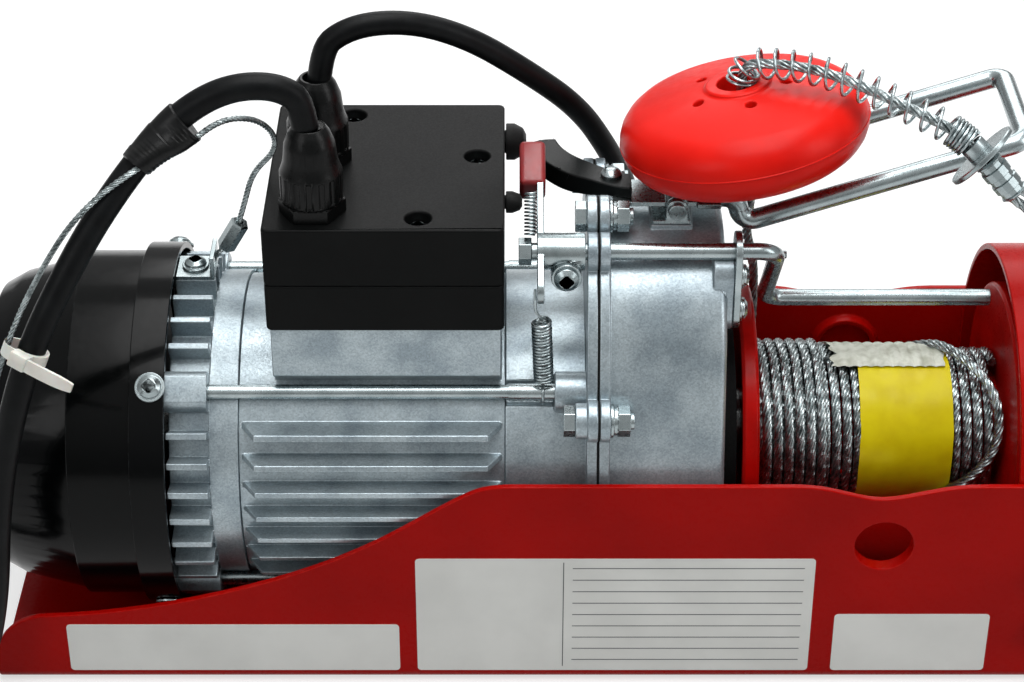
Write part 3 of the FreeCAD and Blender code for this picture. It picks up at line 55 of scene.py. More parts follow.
# camera at the photograph's angle
camera = {"place": (-0.014, -0.6373, 0.50665), "downTilt": 33.34, "lens": 88.21, "sensor": 36.0, "nearest": 0.02}
cameraData = bpy.data.cameras.new("photoCamera")
cameraData.lens = camera["lens"]
cameraData.sensor_width = camera["sensor"]
cameraData.clip_start = camera["nearest"]
cameraObject = bpy.data.objects.new("photoCamera", cameraData)
cameraObject.location = camera["place"]
cameraObject.rotation_euler = (math.radians(90 - camera["downTilt"]), 0, 0)
scene.collection.objects.link(cameraObject)
scene.camera = cameraObject
scene.view_settings.view_transform = "Standard"


def linear(code):
    # sRGB hex to the linear values that the shaders take
    parts = [int(code[i:i + 2], 16) / 255 for i in (0, 2, 4)]
    return (*[c / 12.92 if c <= 0.04045 else ((c + 0.055) / 1.055) ** 2.4 for c in parts], 1.0)


def addNode(tree, kind, settings=None, links=None):
    # a shader node with its settings, linked from sockets or from the first output of nodes
    node = tree.nodes.new("ShaderNode" + kind)
    for key, value in (settings or {}).items():
        if isinstance(key, int) or key in node.inputs:
            node.inputs[key].default_value = value
        else:
            setattr(node, key, value)
    for key, source in (links or {}).items():
        tree.links.new(source if isinstance(source, bpy.types.NodeSocket) else source.outputs[0], node.inputs[key])
    return node


def newTree(material):
    material.use_nodes = True
    material.node_tree.nodes.clear()
    return material.node_tree


# plain soft studio light, with a background that shows white to the camera and in reflections
studio = {
    "lamps": {
        "overheadSoftbox": ((0.05, 0.0, 1.15), (1.1, 0.7), 14.0),
        "frontLeftSoftbox": ((-0.85, -0.95, 0.75), (0.6, 0.6), 3.0),
        "rightSoftbox": ((1.0, -0.45, 0.65), (0.4, 0.8), 4.0),
        "backSoftbox": ((0.15, 1.0, 0.75), (0.9, 0.5), 4.5)},
    "aimAt": (0.0, 0.0, 0.08), "ambient": 0.26, "horizon": 0.30, "whiteFrom": 0.8,
    "floorColour": "A9AAAA", "floorGlow": 0.62, "floorReach": 4.0, "floorDrop": 0.0003}

for name, (place, size, power) in studio["lamps"].items():
    lamp = bpy.data.lights.new(name, "AREA")
    lamp.shape = "RECTANGLE"
    lamp.size, lamp.size_y = size
    lamp.energy = power
    holder = bpy.data.objects.new(name, lamp)
    holder.location = place
    holder.rotation_euler = (Vector(studio["aimAt"]) - Vector(place)).to_track_quat("-Z", "Y").to_euler()
    scene.collection.objects.link(holder)


def seenWhite(tree):
    # 1 for camera, glossy and transmission rays, which see the white background
    path = addNode(tree, "LightPath")
    first = addNode(tree, "Math", {"operation": "MAXIMUM"},
                    {0: path.outputs["Is Camera Ray"], 1: path.outputs["Is Glossy Ray"]})
    return addNode(tree, "Math", {"operation": "MAXIMUM"}, {0: first, 1: path.outputs["Is Transmission Ray"]})


world = bpy.data.worlds.new("studioWorld")
scene.world = world
world.use_nodes = True
tree = world.node_tree
tree.nodes.clear()
height = addNode(tree, "SeparateXYZ", None,
                 {0: addNode(tree, "TexCoord").outputs["Generated"]}).outputs["Z"]
glow = addNode(tree, "MapRange",
               {"From Min": 0.0, "From Max": studio["whiteFrom"], "To Min": studio["horizon"], "To Max": 1.0},
               {"Value": height})
plain = addNode(tree, "Background", {"Strength": studio["ambient"]})
white = addNode(tree, "Background", None, {"Strength": glow})
mixed = addNode(tree, "MixShader", None, {0: seenWhite(tree), 1: plain, 2: white})
addNode(tree, "OutputWorld", None, {"Surface": mixed})

floorPaint = bpy.data.materials.new("paleStudioFloor")
tree = newTree(floorPaint)
lit = addNode(tree, "BsdfDiffuse", {"Color": linear(studio["floorColour"])})
glow = addNode(tree, "Emission", {"Color": (1, 1, 1, 1), "Strength": studio["floorGlow"]})
both = addNode(tree, "AddShader", None, {0: lit, 1: glow})
mixed = addNode(tree, "MixShader", None, {0: seenWhite(tree), 1: lit, 2: both})
addNode(tree, "OutputMaterial", None, {"Surface": mixed})
bm = bmesh.new()
bmesh.ops.create_grid(bm, x_segments=2, y_segments=2, size=studio["floorReach"])
bmesh.ops.translate(bm, verts=bm.verts, vec=(0, 0, -studio["floorDrop"]))
floorMesh = bpy.data.meshes.new("studioFloor")
bm.to_mesh(floorMesh)
bm.free()
floorMesh.materials.append(floorPaint)
floorPlane = bpy.data.objects.new("studioFloor", floorMesh)
scene.collection.objects.link(floorPlane)
print("camera, lamps and floor ready")


def makeFinish(name, look):
    # colour clouds, grain in roughness and bump, and worn edges where the look has them
    finish = bpy.data.materials.new(name)
    tree = newTree(finish)
    place = addNode(tree, "TexCoord").outputs["Object"]
    spread = addNode(tree, "Mapping", {"Scale": look.get("stretch", (1, 1, 1))}, {"Vector": place})
    cloud = addNode(tree, "TexNoise", {"Scale": 1 / (look["cloudMm"] * mm), "Detail": 4.0}, {"Vector": spread})
    grain = addNode(tree, "TexNoise", {"Scale": 1 / (look["grainMm"] * mm), "Detail": 3.0}, {"Vector": spread})
    # the noise seldom leaves the middle of its range, so each use stretches that part
    share = addNode(tree, "MapRange", {"From Min": 0.38, "From Max": 0.66}, {"Value": cloud})
    colour = addNode(tree, "Mix",
                     {"data_type": "RGBA", 6: linear(look["base"]), 7: linear(look["tint"])}, {0: share}).outputs[2]
    if "flakeMm" in look:
        flake = addNode(tree, "TexVoronoi", {"Scale": 1 / (look["flakeMm"] * mm)}, {"Vector": place})
        bright = addNode(tree, "MapRange", {"To Min": 1 - look["flake"], "To Max": 1 + look["flake"]},
                         {"Value": addNode(tree, "SeparateColor", None, {0: flake.outputs["Color"]})})
        colour = addNode(tree, "Mix", {"data_type": "RGBA", "blend_type": "MULTIPLY", 0: 1.0},
                         {6: colour, 7: bright}).outputs[2]
    if "worn" in look:
        wornColour, wornMm, wornShare = look["worn"]
        rounded = addNode(tree, "Bevel", {"samples": 4, "Radius": wornMm * mm})
        flat = addNode(tree, "NewGeometry").outputs["Normal"]
        bend = addNode(tree, "VectorMath", {"operation": "DOT_PRODUCT"}, {0: rounded, 1: flat}).outputs["Value"]
        edge = addNode(tree, "MapRange", {"From Min": 0.985, "From Max": 0.88}, {"Value": bend})
        patch = addNode(tree, "MapRange", {"From Min": 0.5, "From Max": 0.62, "To Max": wornShare}, {"Value": grain})
        mask = addNode(tree, "Math", {"operation": "MULTIPLY"}, {0: edge, 1: patch})
        colour = addNode(tree, "Mix", {"data_type": "RGBA", 7: linear(wornColour)},
                         {0: mask, 6: colour}).outputs[2]
    rough = addNode(tree, "MapRange",
                    {"From Min": 0.3, "From Max": 0.7, "To Min": look["rough"][0], "To Max": look["rough"][1]},
                    {"Value": grain})
    bump = addNode(tree, "Bump", {"Strength": look.get("bump", 0.5), "Distance": look["bumpMm"] * mm},
                   {"Height": grain})
    shader = addNode(tree, "BsdfPrincipled",
                     {"Metallic": look.get("metallic", 0.0), "Specular IOR Level": look.get("specular", 0.5),
                      "Coat Weight": look.get("coat", 0.0), "Coat Roughness": look.get("coatRough", 0.06),
                      "Sheen Weight": look.get("sheen", 0.0), "Subsurface Weight": look.get("depth", 0.0),
                      "Subsurface Scale": 0.002},
                     {"Base Color": colour, "Roughness": rough, "Normal": bump})
    addNode(tree, "OutputMaterial", None, {"Surface": shader})
    return finish


# one look for each material slot of the record, with real sizes in millimetres; worn edges are
# (colour, reach in mm, share of the edge)
looks = {
    # gloss stoving enamel on pressed steel: deep red, faint orange peel, paler rubbed edges
    "frame_red": ("redStovingEnamel", {
        "base": "A80804", "tint": "9A0603", "cloudMm": 45, "grainMm": 1.6, "rough": (0.24, 0.34), "bumpMm": 0.02,
        "bump": 0.35, "coat": 0.02, "coatRough": 0.08, "specular": 0.06,
        "worn": ("C8382C", 0.7, 0.5)}),
    # silver casting paint over sand-textured aluminium: fine sparkle, cool grey, darker where it is thin
    "casting_silver": ("silverCastingPaint", {
        "base": "A6B2B7", "tint": "86939A", "cloudMm": 14, "grainMm": 0.7, "rough": (0.28, 0.42), "bumpMm": 0.06,
        "bump": 0.55, "metallic": 0.6, "flakeMm": 0.45, "flake": 0.16,
        "worn": ("E3EAEC", 0.5, 0.6)}),
    # black gloss enamel on spun sheet steel: mirror-like with soft peel
    "cover_black": ("blackGlossEnamel", {
        "base": "040506", "tint": "020303", "cloudMm": 30, "grainMm": 2.2, "rough": (0.14, 0.2), "bumpMm": 0.015,
        "bump": 0.3, "coat": 0.04, "coatRough": 0.05, "specular": 0.09,
        "worn": ("50585B", 0.4, 0.5)}),
    # bright zinc plate on steel: pale blue-grey with drawn lines and cloudy passivation
    "zinc": ("brightZincPlate", {
        "base": "A4AEB0", "tint": "8C9799", "cloudMm": 9, "grainMm": 1.2, "rough": (0.24, 0.32), "bumpMm": 0.012,
        "bump": 0.2, "metallic": 1.0}),
    # turned bare steel: grey, with fine tool lines
    "steel": ("turnedBareSteel", {
        "base": "A9ABAB", "tint": "949797", "cloudMm": 6, "grainMm": 0.5, "stretch": (4, 1, 1), "rough": (0.22, 0.36),
        "bumpMm": 0.01, "metallic": 1.0}),
    # ground bearing steel: smooth and bright under a film of grease
    "bearing_steel": ("groundBearingSteel", {
        "base": "BFC2C4", "tint": "AEB1B3", "cloudMm": 8, "grainMm": 0.4, "rough": (0.12, 0.22), "bumpMm": 0.004,
        "metallic": 1.0}),
    # stacked silicon-steel sheets: dark edges 0.5 mm apart along the axis
    "core_steel": ("stackedCoreSteel", {
        "base": "6E7072", "tint": "4E4A46", "cloudMm": 9, "grainMm": 0.5, "stretch": (1, 0.05, 0.05),
        "rough": (0.4, 0.6), "bumpMm": 0.08, "metallic": 1.0}),
    # enamelled copper wire: amber lacquer over round strands
    "winding": ("enamelledCopperWire", {
        "base": "A5532A", "tint": "7E3A1A", "cloudMm": 4, "grainMm": 0.9, "rough": (0.25, 0.4), "bumpMm": 0.15,
        "metallic": 0.7, "coat": 0.5}),
    # pressure-cast rotor alloy: dull grey with flow marks
    "rotor_alloy": ("castRotorAlloy", {
        "base": "A8AAAB", "tint": "8C8E90", "cloudMm": 10, "grainMm": 0.8, "rough": (0.35, 0.5), "bumpMm": 0.04,
        "metallic": 1.0}),
    # black graphited gasket fibre: flat, slightly fuzzy
    "gasket_black": ("blackGasketFibre", {
        "base": "050505", "tint": "0A0A0A", "cloudMm": 3, "grainMm": 0.4, "rough": (0.7, 0.9), "bumpMm": 0.05,
        "specular": 0.2}),
    # glass-filled nylon fan: matt black with faint flow lines
    "fan_plastic": ("glassFilledNylon", {
        "base": "16181A", "tint": "212426", "cloudMm": 12, "grainMm": 0.5, "rough": (0.45, 0.6), "bumpMm": 0.03}),
    # case-hardened gear steel: grey teeth under amber grease
    "gear_steel": ("greasedGearSteel", {
        "base": "8A8781", "tint": "6F6657", "cloudMm": 7, "grainMm": 0.7, "rough": (0.2, 0.38), "bumpMm": 0.02,
        "metallic": 1.0, "coat": 0.4}),
    # red enamel on the cast drum: as the frame's, with scuffs from the rope
    "drum_red": ("redDrumEnamel", {
        "base": "A80804", "tint": "8C0603", "cloudMm": 12, "grainMm": 1.4, "rough": (0.26, 0.4), "bumpMm": 0.03,
        "coat": 0.02, "specular": 0.08, "worn": ("C8463A", 0.6, 0.7)}),
    # galvanised wire rope: bright crowns, oil and dust in the valleys
    "rope_steel": ("galvanisedWireRope", {
        "base": "B4BDBE", "tint": "6E7778", "cloudMm": 3, "grainMm": 0.45, "rough": (0.22, 0.42), "bumpMm": 0.05,
        "metallic": 1.0}),
    # yellow polypropylene tape, kept bare: satin, faintly creased
    "tape_yellow": ("yellowPolyTape", {
        "base": "E3D30E", "tint": "D6C20B", "cloudMm": 9, "grainMm": 3.0, "rough": (0.3, 0.42), "bumpMm": 0.12,
        "bump": 0.4, "specular": 0.2}),
    # spark-eroded black ABS: fine matt texture, grey sheen at low angles
    "box_black": ("texturedBlackAbs", {
        "base": "050606", "tint": "090A0A", "cloudMm": 20, "grainMm": 0.45, "rough": (0.42, 0.56), "bumpMm": 0.03,
        "specular": 0.08, "worn": ("3A3E3F", 0.5, 0.6)}),
    # moulded polyamide glands: satin black with smooth crowns
    "gland_black": ("mouldedPolyamide", {
        "base": "050606", "tint": "090A0A", "cloudMm": 10, "grainMm": 0.6, "rough": (0.26, 0.38), "bumpMm": 0.012,
        "specular": 0.16}),
    # polypropylene capacitor can: pale, smooth, slightly glossy
    "capacitor_case": ("capacitorCanPlastic", {
        "base": "D8D7D0", "tint": "CCCAC2", "cloudMm": 15, "grainMm": 0.8, "rough": (0.35, 0.5), "bumpMm": 0.01}),
    # phenolic microswitch bodies: dull dark brown-grey
    "switch_body": ("phenolicMoulding", {
        "base": "2A2623", "tint": "1F1C1A", "cloudMm": 5, "grainMm": 0.5, "rough": (0.5, 0.65), "bumpMm": 0.02}),
    # black nitrile boots: matt and slightly dusty
    "boot_rubber": ("nitrileBoot", {
        "base": "060707", "tint": "0B0C0C", "cloudMm": 3, "grainMm": 0.4, "rough": (0.5, 0.7), "bumpMm": 0.02,
        "sheen": 0.15, "specular": 0.15}),
    # red vinyl dip: thick, slightly glossy, darker at the rim
    "tip_red": ("redVinylDip", {
        "base": "8F2426", "tint": "7A1A1D", "cloudMm": 6, "grainMm": 0.9, "rough": (0.3, 0.45), "bumpMm": 0.03,
        "depth": 0.1}),
    # glass-filled arm moulding: satin black with rounded, lighter edges
    "arm_black": ("blackArmMoulding", {
        "base": "060808", "tint": "0D1010", "cloudMm": 10, "grainMm": 0.5, "rough": (0.34, 0.48), "bumpMm": 0.02,
        "worn": ("4A5152", 0.6, 0.5), "specular": 0.16}),
    # moulded red polypropylene: waxy gloss, slight depth, scuffs
    "stopper_red": ("redPolypropylene", {
        "base": "D8180E", "tint": "C8120A", "cloudMm": 22, "grainMm": 2.5, "rough": (0.30, 0.42), "bumpMm": 0.03,
        "bump": 0.35, "specular": 0.12, "depth": 0.06}),
    # rubber cable jacket: satin black with faint talc
    "cable_black": ("rubberCableJacket", {
        "base": "060708", "tint": "0D0F10", "cloudMm": 6, "grainMm": 0.7, "rough": (0.36, 0.52), "bumpMm": 0.02,
        "specular": 0.1}),
    # moulded rubber plug: matt, a little paler than the cable
    "plug_black": ("mouldedRubberPlug", {
        "base": "090A0B", "tint": "101112", "cloudMm": 9, "grainMm": 0.5, "rough": (0.4, 0.55), "bumpMm": 0.02,
        "specular": 0.16}),
    # pendant handset ABS: matt black, finely textured
    "handset_black": ("texturedHandsetAbs", {
        "base": "0A0B0C", "tint": "111314", "cloudMm": 16, "grainMm": 0.5, "rough": (0.45, 0.6), "bumpMm": 0.03,
        "specular": 0.18}),
    # cream push button: smooth moulded ABS
    "button_white": ("creamButtonAbs", {
        "base": "DAD8CF", "tint": "D0CDC2", "cloudMm": 9, "grainMm": 0.8, "rough": (0.3, 0.4), "bumpMm": 0.008,
        "depth": 0.08}),
    # black push button: smooth moulded ABS
    "button_black": ("blackButtonAbs", {
        "base": "17191A", "tint": "202324", "cloudMm": 9, "grainMm": 0.8, "rough": (0.3, 0.42), "bumpMm": 0.008}),
    # red emergency button: glossy moulded ABS
    "stop_red": ("redButtonAbs", {
        "base": "C4150F", "tint": "B0110C", "cloudMm": 12, "grainMm": 1.0, "rough": (0.18, 0.3), "bumpMm": 0.01,
        "coat": 0.3, "depth": 0.08}),
    # zinc-plated drop-forged hook: bright over a slightly rough forging
    "hook_zinc": ("zincPlatedForging", {
        "base": "B6BCB9", "tint": "A3A58F", "cloudMm": 12, "grainMm": 1.2, "rough": (0.26, 0.42), "bumpMm": 0.05,
        "metallic": 1.0})}
finishes = {slot: makeFinish(name, look) for slot, (name, look) in looks.items()}
for name, node in nodes.items():
    node.data.materials.clear()
    node.data.materials.append(finishes[slotOf[name]])
print("finishes made:", len(finishes))


def carried(name, data, body, replaced):
    # an object that rides a body and stands in for the CAD nodes named
    piece = bpy.data.objects.new(name, data)
    scene.collection.objects.link(piece)
    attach(piece, body)
    if replaced:
        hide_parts(*replaced)
    return piece


def addPiece(name, mesh, body, slot, replaced=(), finish=None, sharp=32):
    # smooth shading, with sharp edges past an angle in degrees
    mesh.name = name
    mesh.polygons.foreach_set("use_smooth", [True] * len(mesh.polygons))
    mesh.set_sharp_from_angle(angle=math.radians(sharp))
    mesh.materials.clear()
    mesh.materials.append(finish or finishes[slot])
    return carried(name, mesh, body, replaced)


def meshOf(bm):
    mesh = bpy.data.meshes.new("piece")
    bm.to_mesh(mesh)
    bm.free()
    return mesh


def aimed(place, heading):
    # turns local X onto a heading and carries the origin to a place, in mm
    return Matrix.Translation(Vector(place) * mm) @ Vector(heading).to_track_quat("X", "Z").to_matrix().to_4x4()


def turned(profile, place, heading, steps, loop=False, bm=None):
    # spins (along, radius) pairs in mm about a heading, as a mesh of its own or added to bm
    made = bmesh.new()
    points = [made.verts.new((a * mm, 0, r * mm)) for a, r in profile]
    edges = [made.edges.new(pair) for pair in zip(points, points[1:] + (points[:1] if loop else []))]
    bmesh.ops.spin(made, geom=points + edges, axis=(1, 0, 0), cent=(0, 0, 0), angle=2 * math.pi, steps=steps,
                   use_merge=True)
    bmesh.ops.remove_doubles(made, verts=made.verts, dist=1e-6)
    bmesh.ops.recalc_face_normals(made, faces=made.faces)
    bmesh.ops.transform(made, matrix=aimed(place, heading), verts=made.verts)
    return joined(bm, made) if bm else made


def turnedPiece(name, profile, place, heading, steps, loop=True, body="hoist", slot="zinc", sharp=32):
    return addPiece(name, meshOf(turned(profile, place, heading, steps, loop)), body, slot, sharp=sharp)


def joined(bm, other):
    # adds one bmesh to another
    mesh = meshOf(other)
    bm.from_mesh(mesh)
    bpy.data.meshes.remove(mesh)
    return bm


def roundedBlock(size, corner, segments, matrix):
    # a block with rounded edges, sizes in mm
    made = bmesh.new()
    bmesh.ops.create_cube(made, size=1)
    bmesh.ops.scale(made, verts=made.verts, vec=[side * mm for side in size])
    bmesh.ops.bevel(made, geom=made.edges[:], offset=corner * mm, segments=segments, profile=0.5, material=-1,
                    affect="EDGES")
    bmesh.ops.transform(made, matrix=matrix, verts=made.verts)
    return made


def softened(node, radius, angle=35):
    # a copy of a CAD node with its edges rounded, radius in mm and angle in degrees
    mesh = nodes[node].data.copy()
    if "custom_normal" in mesh.attributes:
        mesh.attributes.remove(mesh.attributes["custom_normal"])
    bm = bmesh.new()
    bm.from_mesh(mesh)
    bmesh.ops.remove_doubles(bm, verts=bm.verts, dist=2e-6)
    bmesh.ops.dissolve_limit(bm, angle_limit=math.radians(0.8), verts=bm.verts, edges=bm.edges)
    bm.to_mesh(mesh)
    bm.free()
    words = node.split("_")
    name = words[0] + "".join(w.title() for w in words[1:]) + "Body"
    piece = addPiece(name, mesh, bodyOf[node], slotOf[node], (node,), sharp=angle)
    edges = piece.modifiers.new("roundedEdges", "BEVEL")
    edges.width = radius * mm
    edges.segments = 2
    edges.limit_method = "ANGLE"
    edges.angle_limit = math.radians(angle)
    edges.use_clamp_overlap = False
    edges.miter_outer = "MITER_ARC"
    edges.harden_normals = True
    return piece


def cordCurve(name, route, radius=0.0, resolution=10):
    # one NURBS spline with the route's points, in metres, as its control points
    curve = bpy.data.curves.new(name, "CURVE")
    curve.dimensions = "3D"
    spline = curve.splines.new("NURBS")
    spline.points.add(len(route) - 1)
    for point, place in zip(spline.points, route):
        point.co = (*place, 1)
    spline.order_u = 3
    spline.use_endpoint_u = True
    spline.resolution_u = resolution
    curve.bevel_depth = radius
    curve.bevel_resolution = 5
    curve.use_fill_caps = True
    return curve


def evaluatedMesh(data):
    # what Blender makes of a curve, as a mesh of its own
    holder = bpy.data.objects.new("holder", data)
    scene.collection.objects.link(holder)
    bpy.context.view_layer.update()
    mesh = bpy.data.meshes.new_from_object(holder.evaluated_get(bpy.context.evaluated_depsgraph_get()))
    bpy.data.objects.remove(holder)
    return mesh


def lineOf(route):
    # the spline's own line, read from Blender: distance, place, heading and an untwisted side at each point
    mesh = evaluatedMesh(cordCurve("line", route))
    places = [v.co.copy() for v in mesh.vertices]
    bpy.data.meshes.remove(mesh)
    rows, run, side = [], 0.0, None
    for i, here in enumerate(places):
        ahead = (places[min(i + 1, len(places) - 1)] - places[max(i - 1, 0)]).normalized()
        side = (side or ahead.orthogonal()) - ahead * (side or ahead.orthogonal()).dot(ahead)
        side.normalize()
        run += (here - places[i - 1]).length if i else 0.0
        rows.append((run, here, ahead, side.copy()))
    return rows


def stationAt(line, run):
    # place, heading and side at a distance along a line
    for a, b in zip(line, line[1:]):
        if b[0] >= run:
            t = (run - a[0]) / max(b[0] - a[0], 1e-9)
            return a[1].lerp(b[1], t), a[2].lerp(b[2], t).normalized(), a[3].lerp(b[3], t).normalized()
    return line[-1][1:]


def nearestRun(line, place):
    # the distance along a line at which it passes nearest to a place
    return min(line, key=lambda row: (row[1] - Vector(place)).length)[0]


def curvePiece(name, curve, body, slot, replaced):
    # a cord stays a curve, so that its centre line can be read
    curve.materials.append(finishes[slot])
    return carried(name, curve, body, replaced)


def windTurns(centre, stages, step=30):
    # points of wound turns: stages are (angle, radius, height) in mm, filled in between at even steps
    points = []
    shrink = 2 / (1 + math.cos(math.radians(step / 2)))  # the spline runs a little inside its points
    for (a0, r0, z0), (a1, r1, z1) in zip(stages, stages[1:]):
        count = max(1, round(abs(a1 - a0) / step))
        for i in range(count):
            t = i / count
            a, r = math.radians(a0 + (a1 - a0) * t), (r0 + (r1 - r0) * t) * shrink
            points.append(((centre[0] + r * math.cos(a)) * mm, (centre[1] + r * math.sin(a)) * mm,
                           (z0 + (z1 - z0) * t) * mm))
    return points


# cables first: both leave the box glands, and what the view doesn't show is coiled on the floor
mains = {
    "diameter": 0.007,
    "lead": [(-0.0702, 0.003, 0.1507), (-0.0702, 0.003, 0.183), (-0.060, 0.0046, 0.191), (-0.0435, 0.008, 0.191),
             (-0.027, 0.013, 0.1835), (-0.011, 0.0195, 0.170), (0.006, 0.0295, 0.152), (0.016, 0.038, 0.132),
             (0.0225, 0.050, 0.112), (0.0265, 0.060, 0.090), (0.0282, 0.063, 0.066), (0.0288, 0.063, 0.044),
             (0.0292, 0.0668, 0.022), (0.0282, 0.080, 0.0054), (0.0235, 0.097, 0.0036)],
    "coilCentre": (-18.5, 100.0),
    "coil": [(20, 38.3, 3.6), (276, 38.3, 3.6), (336, 31.2, 3.6), (596, 31.2, 3.6), (656, 35.0, 9.9), (860, 35.0, 9.9)],
    "tail": [(-0.0475, 0.1235, 0.0090), (-0.0565, 0.1225, 0.0060), (-0.0665, 0.1226, 0.0040), (-0.076, 0.1234, 0.0046),
             (-0.084, 0.1235, 0.0085), (-0.090, 0.1235, 0.015), (-0.0955, 0.1235, 0.01855), (-0.111, 0.1235, 0.01855)]}
mainsRoute = mains["lead"] + windTurns(mains["coilCentre"], mains["coil"]) + mains["tail"]
mainsLine = lineOf(mainsRoute)
print("mains lead length", round(mainsLine[-1][0], 4))
mainsCord = curvePiece("mainsCord", cordCurve("mainsCord", mainsRoute, mains["diameter"] / 2), "hoist", "cable_black",
                       ("mains_lead", "mains_coil"))

pendant = {
    "diameter": 0.0078,
    "lead": [(-0.0702, -0.026, 0.1507), (-0.0702, -0.026, 0.1815), (-0.0775, -0.027, 0.1885), (-0.091, -0.0285, 0.189),
             (-0.104, -0.0295, 0.182), (-0.1155, -0.034, 0.171), (-0.128, -0.046, 0.157), (-0.1385, -0.0555, 0.1405),
             (-0.147, -0.061, 0.124), (-0.155, -0.0645, 0.100), (-0.161, -0.066, 0.072), (-0.164, -0.0675, 0.044),
             (-0.170, -0.069, 0.020), (-0.183, -0.0695, 0.0064), (-0.199, -0.0675, 0.00395),
             (-0.219, -0.0615, 0.00395)],
    "coilCentre": (-231.0, 0.0),
    "coil": [(-100, 54.5, 4.0), (-150, 50.2, 4.0), (-442, 49.6, 4.0), (-502, 41.8, 4.0), (-802, 41.8, 4.0),
             (-862, 34.0, 4.0), (-1102, 34.0, 4.0), (-1162, 38.0, 10.6), (-1502, 45.6, 10.6), (-1612, 46.2, 10.6)],
    "tail": [(-0.2775, 0.0055, 0.0106), (-0.2795, 0.0175, 0.0090), (-0.2805, 0.0315, 0.0055), (-0.277, 0.047, 0.0043),
             (-0.268, 0.062, 0.0045), (-0.255, 0.073, 0.0075), (-0.243, 0.0785, 0.0125), (-0.2335, 0.080, 0.016),
             (-0.206, 0.080, 0.016)]}
pendantRoute = pendant["lead"] + windTurns(pendant["coilCentre"], pendant["coil"]) + pendant["tail"]
pendantLine = lineOf(pendantRoute)
print("pendant cable length", round(pendantLine[-1][0], 4))
pendantCord = curvePiece("pendantCord", cordCurve("pendantCord", pendantRoute, pendant["diameter"] / 2), "hoist",
                         "cable_black", ("pendant_cable", "pendant_coil"))

wireLook = {
    "diameter": 0.0018, "lay": 0.009,
    "route": [(-0.10445, 0.005, 0.11305), (-0.097, 0.004, 0.121), (-0.0928, 0.0015, 0.1345), (-0.0895, -0.0015, 0.147),
              (-0.082, -0.005, 0.156), (-0.0815, -0.0115, 0.166), (-0.0865, -0.019, 0.1745), (-0.095, -0.026, 0.1774),
              (-0.104, -0.0365, 0.174), (-0.113, -0.0408, 0.173), (-0.1319, -0.0482, 0.1614),
              (-0.1442, -0.0558, 0.1442), (-0.1532, -0.061, 0.1264), (-0.1614, -0.0645, 0.1018),
              (-0.1673, -0.066, 0.0726), (-0.1702, -0.0675, 0.0446), (-0.176, -0.0695, 0.0235),
              (-0.187, -0.0703, 0.0122), (-0.201, -0.0685, 0.0097)]}


def ropeMesh(name, route, diameter, lay, resolution=10, strands=6):
    # stranded rope: a lobed section carried along the route and turned once in each lay length
    section = bpy.data.curves.new(name + "Section", "CURVE")
    section.dimensions = "2D"
    ring = section.splines.new("POLY")
    depths = (1.0, 0.93, 0.68, 0.93)  # crown, flank, valley, flank of each strand
    ring.points.add(strands * len(depths) - 1)
    for i, point in enumerate(ring.points):
        a, r = 2 * math.pi * i / (strands * len(depths)), diameter / 2 * depths[i % len(depths)]
        point.co = (r * math.cos(a), r * math.sin(a), 0, 1)
    ring.use_cyclic_u = True
    sectionHolder = bpy.data.objects.new(name + "Section", section)
    scene.collection.objects.link(sectionHolder)
    curve = cordCurve(name, route, 0.0, resolution)
    curve.bevel_mode = "OBJECT"
    curve.bevel_object = sectionHolder
    points = curve.splines[0].points
    runs = [0.0]
    for a, b in zip(points[:-1], points[1:]):
        runs.append(runs[-1] + (b.co.xyz - a.co.xyz).length)
    for point, run in zip(points, runs):
        point.tilt = 2 * math.pi * (run - runs[-1] / 2) / lay  # counted from the middle, because tilt is limited
    mesh = evaluatedMesh(curve)
    bpy.data.objects.remove(sectionHolder)
    return mesh


def ropePiece(name, look, route, resolution, body, replaced=()):
    # a length of stranded rope as a piece of its own
    mesh = ropeMesh(name, route, look["diameter"], look["lay"], resolution)
    return addPiece(name, mesh, body, "rope_steel", replaced)


wireLine = lineOf(wireLook["route"])
supportWire = ropePiece("supportWire", wireLook, wireLook["route"], 14, "hoist", ("support_wire",))
print("support wire length", round(wireLine[-1][0], 4))

# rope from the drum up through the stopper disc to the ferrule; it runs straight through the disc, from 15 mm
# under its centre to 19.5 mm over it
discCentre = Vector((53.5, 6.4, 158.0))
discAxis = Vector((-0.183, 0.076, 0.980)).normalized()
ropeLook = {
    "diameter": 0.003, "lay": 0.020,
    "route": [(0.0615, 0.0276, 0.0658), (0.0616, 0.0266, 0.086), (0.0602, 0.0215, 0.104), (0.0564, 0.0145, 0.118),
              (0.0568, 0.0085, 0.130), tuple((discCentre - discAxis * 15) * mm),
              tuple((discCentre + discAxis * 19.5) * mm), (0.061, 0.0029, 0.1802), (0.074, -0.003, 0.1808),
              (0.0885, -0.0095, 0.1772), (0.101, -0.015, 0.1734), (0.1115, -0.020, 0.1696),
              (0.1185, -0.0232, 0.1635)]}
ropeLine = lineOf(ropeLook["route"])
ropeTail = ropePiece("ropeTail", ropeLook, ropeLook["route"], 14, "hoist", ("rope_tail",))
print("rope tail length", round(ropeLine[-1][0], 4))

